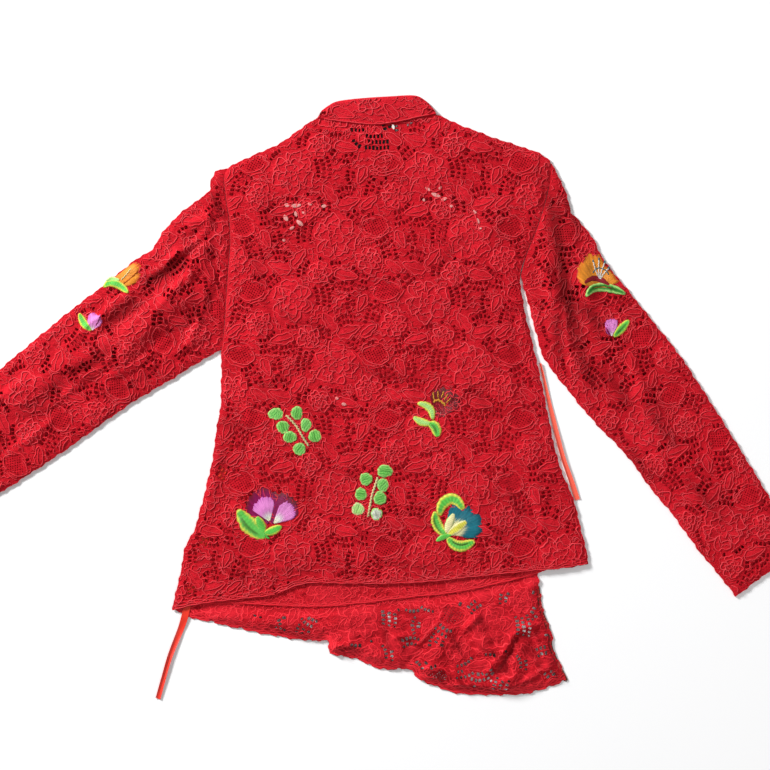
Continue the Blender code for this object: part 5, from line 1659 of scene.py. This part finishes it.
def collarPiece():
    # the section (share of the way up, height) is carried along both edge lines, which are smoothed
    rows, upper = collarCut["rows"], collarCut["upper"]
    high = upper + collarCut["leaf"]
    section = [(0.0, upper), (-0.012, upper + 0.5), (0.0, high - 0.25), (0.03, high + 0.02),
               (0.10, high - 0.12), (0.3, high + 0.3), (0.5, high + 0.5),
               (0.7, high + 0.35), (0.86, high), (0.95, high - 0.7), (0.995, high * 0.6), (1.0, high * 0.4),
               (0.97, 0.5), (0.9, 0.0), (0.6, 0.0), (0.3, 0.0),
               (0.3, 1.2), (0.6, 1.2), (0.84, 1.2), (0.88, high * 0.5), (0.84, upper), (0.5, upper + 0.4),
               (0.2, upper + 0.15)]
    top, low = smooth([row[:2] for row in rows], 2.5), smooth([row[2:] for row in rows], 2.5)
    fine = np.linspace(0, 1, 110)
    top, low = [np.stack([np.interp(fine, np.linspace(0, 1, len(line)), line[:, k]) for k in (0, 1)], -1)
                for line in (top, low)]
    share, z = np.array(section).T
    end = (np.abs(2 * fine - 1) ** 4)[:, None]
    reach = share[None] + 0.42 * end * (share == 0.3)[None] + 0.2 * end * (share == 0.6)[None]
    spots = low[:, None] + (top - low)[:, None] * reach[..., None]
    outer = (z > upper + 1.0)[None] * (share > 0.05)[None] * (share < 0.9)[None]
    uneven = 0.22 * np.sin(fine * 31)[:, None] * np.sin(share * 5 + 1)[None]
    uneven = uneven + pucker(spots.reshape(-1, 2), 11, 0.18, 4).reshape(spots.shape[:2])
    height = z[None] + outer * uneven
    n, m = spots.shape[:2]
    vertices = toWorld(spots.reshape(-1, 2), height.ravel())
    i, j = np.meshgrid(np.arange(n - 1), np.arange(m), indexing="ij")
    here, there = i * m + j, i * m + (j + 1) % m
    quads = np.stack([here, there, there + m, here + m], -1).reshape(-1, 4)
    caps = []
    for row, flip in ((0, False), (n - 1, True)):
        pairs = [(k, k + 1, m - 2 - k, m - 1 - k) for k in range(m // 2 - 1)]
        caps += [[row * m + v for v in (pair[::-1] if flip else pair)] for pair in pairs]
    tilt = np.cross(vertices[quads[:, 2]] - vertices[quads[:, 0]],
                    vertices[quads[:, 3]] - vertices[quads[:, 1]])[:, 2]
    onTop = quads[:, 0] % m == 6
    if tilt[onTop].sum() < 0:
        quads, caps = quads[:, ::-1], [cap[::-1] for cap in caps]
    piece = meshObject("collar_cloth", vertices, [quads, np.array(caps)], collarRed,
                       values=np.full(n * m, 0.5), sharp=0)
    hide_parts("collar")
    leafTop = np.arange(3, 9)
    return piece, spots[:, leafTop].reshape(-1, 2), height[:, leafTop].ravel(), top, low


collarObject, collarSpots, collarHeights, collarTop, collarLow = collarPiece()


class CollarLeaf:
    # lets cords lie on the collar: its height is that of the four nearest mesh points, weighted by nearness
    def __init__(self):
        self.loop, self.lay = joined(collarLow, collarTop[::-1]), {"origin": (-35, -62), "tilt": 8}
        self.holes, self.raised = [], 1.0

    def top(self, points):
        def work(p):
            gap = ((p[:, None] - collarSpots[None]) ** 2).sum(-1)
            nearest = np.argpartition(gap, 4, axis=1)[:, :4]
            weight = 1 / (np.take_along_axis(gap, nearest, 1) + 0.05)
            return (collarHeights[nearest] * weight).sum(axis=1) / weight.sum(axis=1)
        return inChunks(points, work)


collarLeaf = CollarLeaf()
motifMesh, groundMesh = cordStrips(collarLeaf, 1.2)
cordPiece("collar_cords", motifMesh)
cordPiece("collar_ground_cords", groundMesh)
rim = wobbled(resampled(collarLow[6:-6] * 0.97 + collarTop[6:-6] * 0.03, step=2.2), 0.12,
              np.random.default_rng(2))
rimLines = packed([(rim, 1.0)])
cordPiece("collar_edge_cord", stripMesh(collarLeaf, *rimLines, np.ones(len(rim), bool)))


# neck label: a woven patch that rises from the surface onto the fronts
labelCut = {"left": -40.0, "right": 22.0, "top": -3.0, "low": 34.0, "wall": 1.1, "rise": 1.55,
            "step": (8.0, 20.0)}


def labelPiece():
    # a grid over its rectangle, rounded at the rim, with a hem fold pressed in all round
    x, down = np.linspace(labelCut["left"], labelCut["right"], 60), np.linspace(labelCut["top"],
            labelCut["low"], 38)
    gx, gy = np.meshgrid(x, down)
    points = np.stack([gx, gy], -1).reshape(-1, 2)
    start, end = labelCut["step"]
    base = labelCut["rise"] * eased((points[:, 1] - start) / (end - start))
    rim = np.minimum(np.minimum(points[:, 0] - x[0], x[-1] - points[:, 0]),
                     np.minimum(points[:, 1] - down[0], down[-1] - points[:, 1]))
    pressed = 0.15 * np.exp(-((rim - 3.2) / 0.6) ** 2)
    high = base + 0.5 + (labelCut["wall"] - 0.5) * eased(rim / 1.5) - pressed
    n = len(points)
    vertices = np.vstack([toWorld(points, high), toWorld(points, base)])
    i, j = np.meshgrid(np.arange(37), np.arange(59), indexing="ij")
    first = (i * 60 + j).ravel()
    upper = np.stack([first + 60, first + 61, first + 1, first], -1)
    ring = np.concatenate([np.arange(60), np.arange(1, 38) * 60 + 59, 37 * 60 + np.arange(58, -1, -1),
                           np.arange(36, 0, -1) * 60])
    follow = np.roll(ring, -1)
    walls = np.stack([ring, follow, follow + n, ring + n], -1)
    piece = meshObject("neck_label_cloth", vertices, [upper, upper[:, ::-1] + n, walls], labelBlack,
                       uv=np.vstack([points, points]) / 10)
    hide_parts("neck_label")
    return piece


labelObject = labelPiece()

# ties: rows of x, down, width, underside
tieCut = {
    # at the start, at 0.6 of the way and at the end
    "taper": {"left": (0.97, 0.9, 0.75), "right": (1.0, 0.85, 0.75)},
    "curlStart": {"left": 0, "right": 2},
    "left": [
        (-187, 392, 10.0, 1.5), (-192, 425, 10.0, 1.5), (-203, 470, 10.0, 1.5), (-217, 520, 10.0, 1.5),
        (-231, 570, 10.0, 1.5), (-239.5, 606, 10.0, 1.5), (-242, 617, 10.0, 1.5), (-247, 632, 10.0, 0.0),
        (-260, 665, 10.0, 0.0), (-268, 692, 9.6, 0.0), (-275.5, 719, 9.2, 0.0)
    ],
    "right": [(203.2, 299, 2.6, 0.0), (207.6, 318, 3.4, 0.0), (213.6, 345, 5.0, 0.0), (219.6, 370, 6.6, 0.0),
              (225.6, 395, 8.2, 0.0), (232.4, 420, 8.8, 0.0), (241.4, 445, 9.4, 0.0),
              (249.8, 470, 9.0, 0.0)],
}


def tiePiece(side, satin):
    # a strip with corded edges: across it the height dips in the middle, along it runs a slow curl
    rows = np.array(tieCut[side])
    line = smooth(rows[:, :2], 2.5)
    run = runAlong(line)
    marks = runAlong(rows[:, :2])
    marks = marks / marks[-1] * run[-1]
    wide, under = np.interp(run, marks, rows[:, 2]), np.interp(run, marks, rows[:, 3])
    heading = unitHeading(line)
    across = leftOf(heading)
    t = np.array([-1, -0.94, -0.82, -0.6, -0.3, 0, 0.3, 0.6, 0.82, 0.94, 1])
    m, n = len(t), len(line)
    # the cut end
    ragged = (0.9 * np.sin(np.arange(m) * 2.2) - 0.3 * np.abs(t))[None] * (np.arange(n) == n - 1)[:, None]
    lump = 0.20 * np.exp(-((np.abs(t) - 0.88) / 0.08) ** 2) - 0.10 * (1 - t ** 2)
    free = eased((1.5 - under) / 1.5)
    curl = (0.5 + 1.3 * (0.5 + 0.5 * np.sin(run / 21 + tieCut["curlStart"][side]))) * free
    bow = curl[:, None] * (t ** 2)[None]
    body = 0.52 + lump[None] * 0.7 + 0.06 * np.sin(run / 3.1)[:, None] * np.sin(t * 4)[None]
    drawn = wide * (1 - 0.13 * curl) * np.interp(run / run[-1], [0, 0.6, 1], tieCut["taper"][side])
    spots = line[:, None] + across[:, None] * (t[None] * drawn[:, None] / 2)[..., None]
    spots = spots + heading[:, None] * ragged[..., None]
    low = under[:, None] + bow
    high = low + body
    vertices = np.vstack([toWorld(spots.reshape(-1, 2), high.ravel()),
                          toWorld(spots.reshape(-1, 2), low.ravel())])
    i, j = np.meshgrid(np.arange(n - 1), np.arange(m - 1), indexing="ij")
    first = (i * m + j).ravel()
    upper = np.stack([first, first + 1, first + m + 1, first + m], -1)
    a, b, c = (vertices[upper[0, k]] for k in (0, 1, 2))
    if np.cross(b - a, c - a)[2] < 0:
        upper = upper[:, ::-1]
    sides = np.vstack([upper[:, [0, 1]], upper[:, [1, 2]], upper[:, [2, 3]],
                       upper[:, [3, 0]]]).astype(np.int64)
    total = n * m
    free = sides[~np.isin(sides[:, 0] * total + sides[:, 1], sides[:, 1] * total + sides[:, 0])]
    walls = np.stack([free[:, 1], free[:, 0], free[:, 0] + total, free[:, 1] + total], -1)
    uv = np.stack([np.repeat(run / 10, m), (t[None] * wide[:, None] / 20).ravel()], -1)
    piece = meshObject(f"tie_{side}_ribbon", vertices, [upper, upper[:, ::-1] + total, walls], satin,
                       uv=np.vstack([uv, uv]), sharp=60)
    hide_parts(f"tie_{side}")
    area = float((np.diff(run) * (wide[1:] + wide[:-1]) / 2).sum()) * 1e-6
    return piece, run[-1] * mm, float(wide.max()) * mm, area


tieLeft, tieLeftLong, tieLeftWide, tieLeftArea = tiePiece("left", orangeSatin)
tieRight, tieRightLong, tieRightWide, tieRightArea = tiePiece("right", coralSatin)


# hems and edges: cords that follow them, and overlock stitches over the flap's cut edge
def shifted(line, amount, loop):
    # the line moved towards the inside of the loop
    side = leftOf(unitHeading(line))
    if inside(line + side * 2, loop).mean() < 0.5:
        side = -side
    return line + side * amount, side


def edgeCords(name, cloth, line, rows, seed, material=cordRed):
    # rows of (distance from the edge, wave, width)
    rng = np.random.default_rng(seed)
    lines = []
    for amount, wave, wide in rows:
        path = resampled(line, step=2.2)
        moved, side = shifted(path, amount, cloth.loop)
        s = np.arange(len(path))
        swing = np.sin(s * rng.uniform(0.7, 0.95) + rng.uniform(0, 6)) + 0.6 * np.sin(s * 0.31)
        moved = moved + side * (wave * swing)[:, None]
        lines.append((moved, wide))
    p, t, w, follows = packed(lines)
    vertices, quads, uv = stripMesh(cloth, p, t, w, follows, inside(p, cloth.loop))
    piece = meshObject(name, vertices, quads, material, uv=uv, sharp=0)
    return piece


edgeCords("back_hem_cords", backCloth, backHem, [(1.2, 0.3, 0.9), (3.6, 0.8, 0.7), (6.2, 1.0, 0.6)],
          1)
edgeCords("front_under_hem_cords", underCloth, underHem, [(1.2, 0.3, 1.0), (3.4, 0.7, 0.7)], 2,
          wrongSideRed)
edgeCords("front_over_hem_cords", overCloth, overHem, [
    (1.0, 0.5, 1.2), (2.7, 0.9, 1.0), (4.6, 1.2, 1.0), (6.8, 1.4, 0.9), (9.2, 1.6, 0.8)
], 3, wrongSideRed)


def overlockStitches():
    # slanted threads over the flap's cut edge, and the needle line inside them
    edge = resampled(overEdge[overEdge[:, 1] > 575], step=1.7)
    start, side = shifted(edge, 0.3, overLoop)
    heading = unitHeading(edge)
    rng = np.random.default_rng(5)
    reach = 3.0 + rng.uniform(-0.5, 0.5, len(edge))
    marks = np.linspace(0, 1, 4)
    p = start[:, None] + side[:, None] * (marks[None] * reach[:, None])[..., None] + heading[:,
            None] * (marks[None] * 1.1)[..., None]
    t = np.gradient(p, axis=1)
    t /= np.hypot(t[..., 0], t[..., 1])[..., None]
    follows = np.ones(p.shape[:2], bool)
    follows[:, -1] = False
    count = p.shape[0] * p.shape[1]
    stitch = stripMesh(overCloth, p.reshape(-1, 2), t.reshape(-1, 2), np.full(count, 0.75), follows.ravel(),
                       np.ones(count, bool),
                       arch=(-0.05, 0.40, 0.40, -0.05), reach=(-0.7, -0.3, 0.3, 0.7))
    needle = resampled(shifted(edge, 3.9, overLoop)[0], step=2.0)
    outer = resampled(shifted(edge, 0.9, overLoop)[0], step=1.6)
    p, t, w, follows = packed([(needle, 1.0), (outer, 1.1)])
    row = stripMesh(overCloth, p, t, w, follows, np.ones(len(p), bool), arch=(-0.02, 0.12, 0.12, -0.02),
                    reach=(-0.9, -0.5, 0.5, 0.9))
    vertices = np.vstack([stitch[0], row[0]])
    quads = np.vstack([stitch[1], row[1] + len(stitch[0])])
    pick = rng.random(len(edge)) < 0.35
    perStitch = np.where(pick[:, None], dyes["blush"], dyes["brown"])
    inner = len(needle) * 4
    dye = np.vstack([np.repeat(perStitch, len(stitch[0]) // len(edge), axis=0),
                     np.tile(dyes["needle"], (inner, 1)),
                     np.tile(dyes["edge"], (len(row[0]) - inner, 1))])
    dye = np.concatenate([dye, np.ones((len(dye), 1))], 1)
    piece = meshObject("front_over_overlock", vertices, quads, embroideryThread,
                       uv=np.vstack([stitch[2], row[2]]), colours=dye, sharp=0)


overlockStitches()


def seamRows():
    # along both armholes: a pressed groove with a ridge of turned cloth beside it
    lines = []
    for line in (smooth(cut["backLeft"][6:17]), smooth(cut["backRight"][6:11])):
        path = shifted(resampled(line, step=2.2), 1.4, backLoop)[0]
        lines.append((wobbled(path, 0.25, np.random.default_rng(3)), 0.7))
    p, t, w, follows = packed(lines)
    vertices, quads, uv = stripMesh(backCloth, p, t, w, follows, inside(p, backLoop),
            arch=(-0.05, 0.3, 0.3, -0.05))
    piece = meshObject("armhole_seams", vertices, quads, seamRed, uv=uv, sharp=0)


seamRows()

# what the cloth pieces were cut to: width and length in metres, and the area of the cut
def lengths(loop, degrees=0.0):
    # width and length of the loop's box once it is turned upright
    span = np.ptp(turned(loop, degrees), axis=0)
    return float(span[0]) * mm, float(span[1]) * mm


def byName(*names):
    return [bpy.data.objects[name] for name in names]


# piece, loop, turn that stands it upright, layers all round, what it lies on, what is sewn to it
sheetRows = [
    (backPiece, backLoop, 0, 1, ["front_over_lace", "front_under_lace"],
     ["back_cords", "back_ground_cords", "back_hem_cords", "armhole_seams", "back_embroidery"]),
    (overPiece, overLoop, 0, 1, ["floor"],
     ["front_over_cords", "front_over_ground_cords", "front_over_hem_cords", "front_over_overlock"]),
    (underPiece, underLoop, 0, 1, ["front_over_lace"],
     ["front_under_cords", "front_under_ground_cords", "front_under_hem_cords"]),
    (sleevePieces["left"], sleeveLoops["left"], -53, 2, ["floor"],
     ["sleeve_left_cords", "sleeve_left_ground_cords", "sleeve_left_embroidery"]),
    (sleevePieces["right"], sleeveLoops["right"], 37, 2, ["floor"],
     ["sleeve_right_cords", "sleeve_right_ground_cords", "sleeve_right_embroidery"]),
]


def declareSheets():
    for piece, loop, turn, layers, under, sewnOn in sheetRows:
        wide, long = lengths(loop, turn)
        area = polygonArea(loop) * 1e-6 * layers
        byName(*sewnOn)
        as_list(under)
        print(piece.name, "cut", round(wide * layers, 3), "by", round(long, 3), "m, area", round(area, 4))


report("collar, label, ties, hems")

# floor
floorMesh = bpy.data.meshes.new("floor")
floorMesh.from_pydata([(-4, -4, 0), (4, -4, 0), (4, 4, 0), (-4, 4, 0)], [], [(0, 1, 2, 3)])
floor = bpy.data.objects.new("floor", floorMesh)
bpy.context.scene.collection.objects.link(floor)
paper = bpy.data.materials.new("paper")
paper.use_nodes = True
paperShader = paper.node_tree.nodes["Principled BSDF"]
paperShader.inputs["Base Color"].default_value = studio["floorColour"]
paperShader.inputs["Roughness"].default_value = 0.9
floorMesh.materials.append(paper)
floor.location.z = studio["floorSink"]
declareSheets()

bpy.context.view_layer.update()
report("scene made, seconds:")
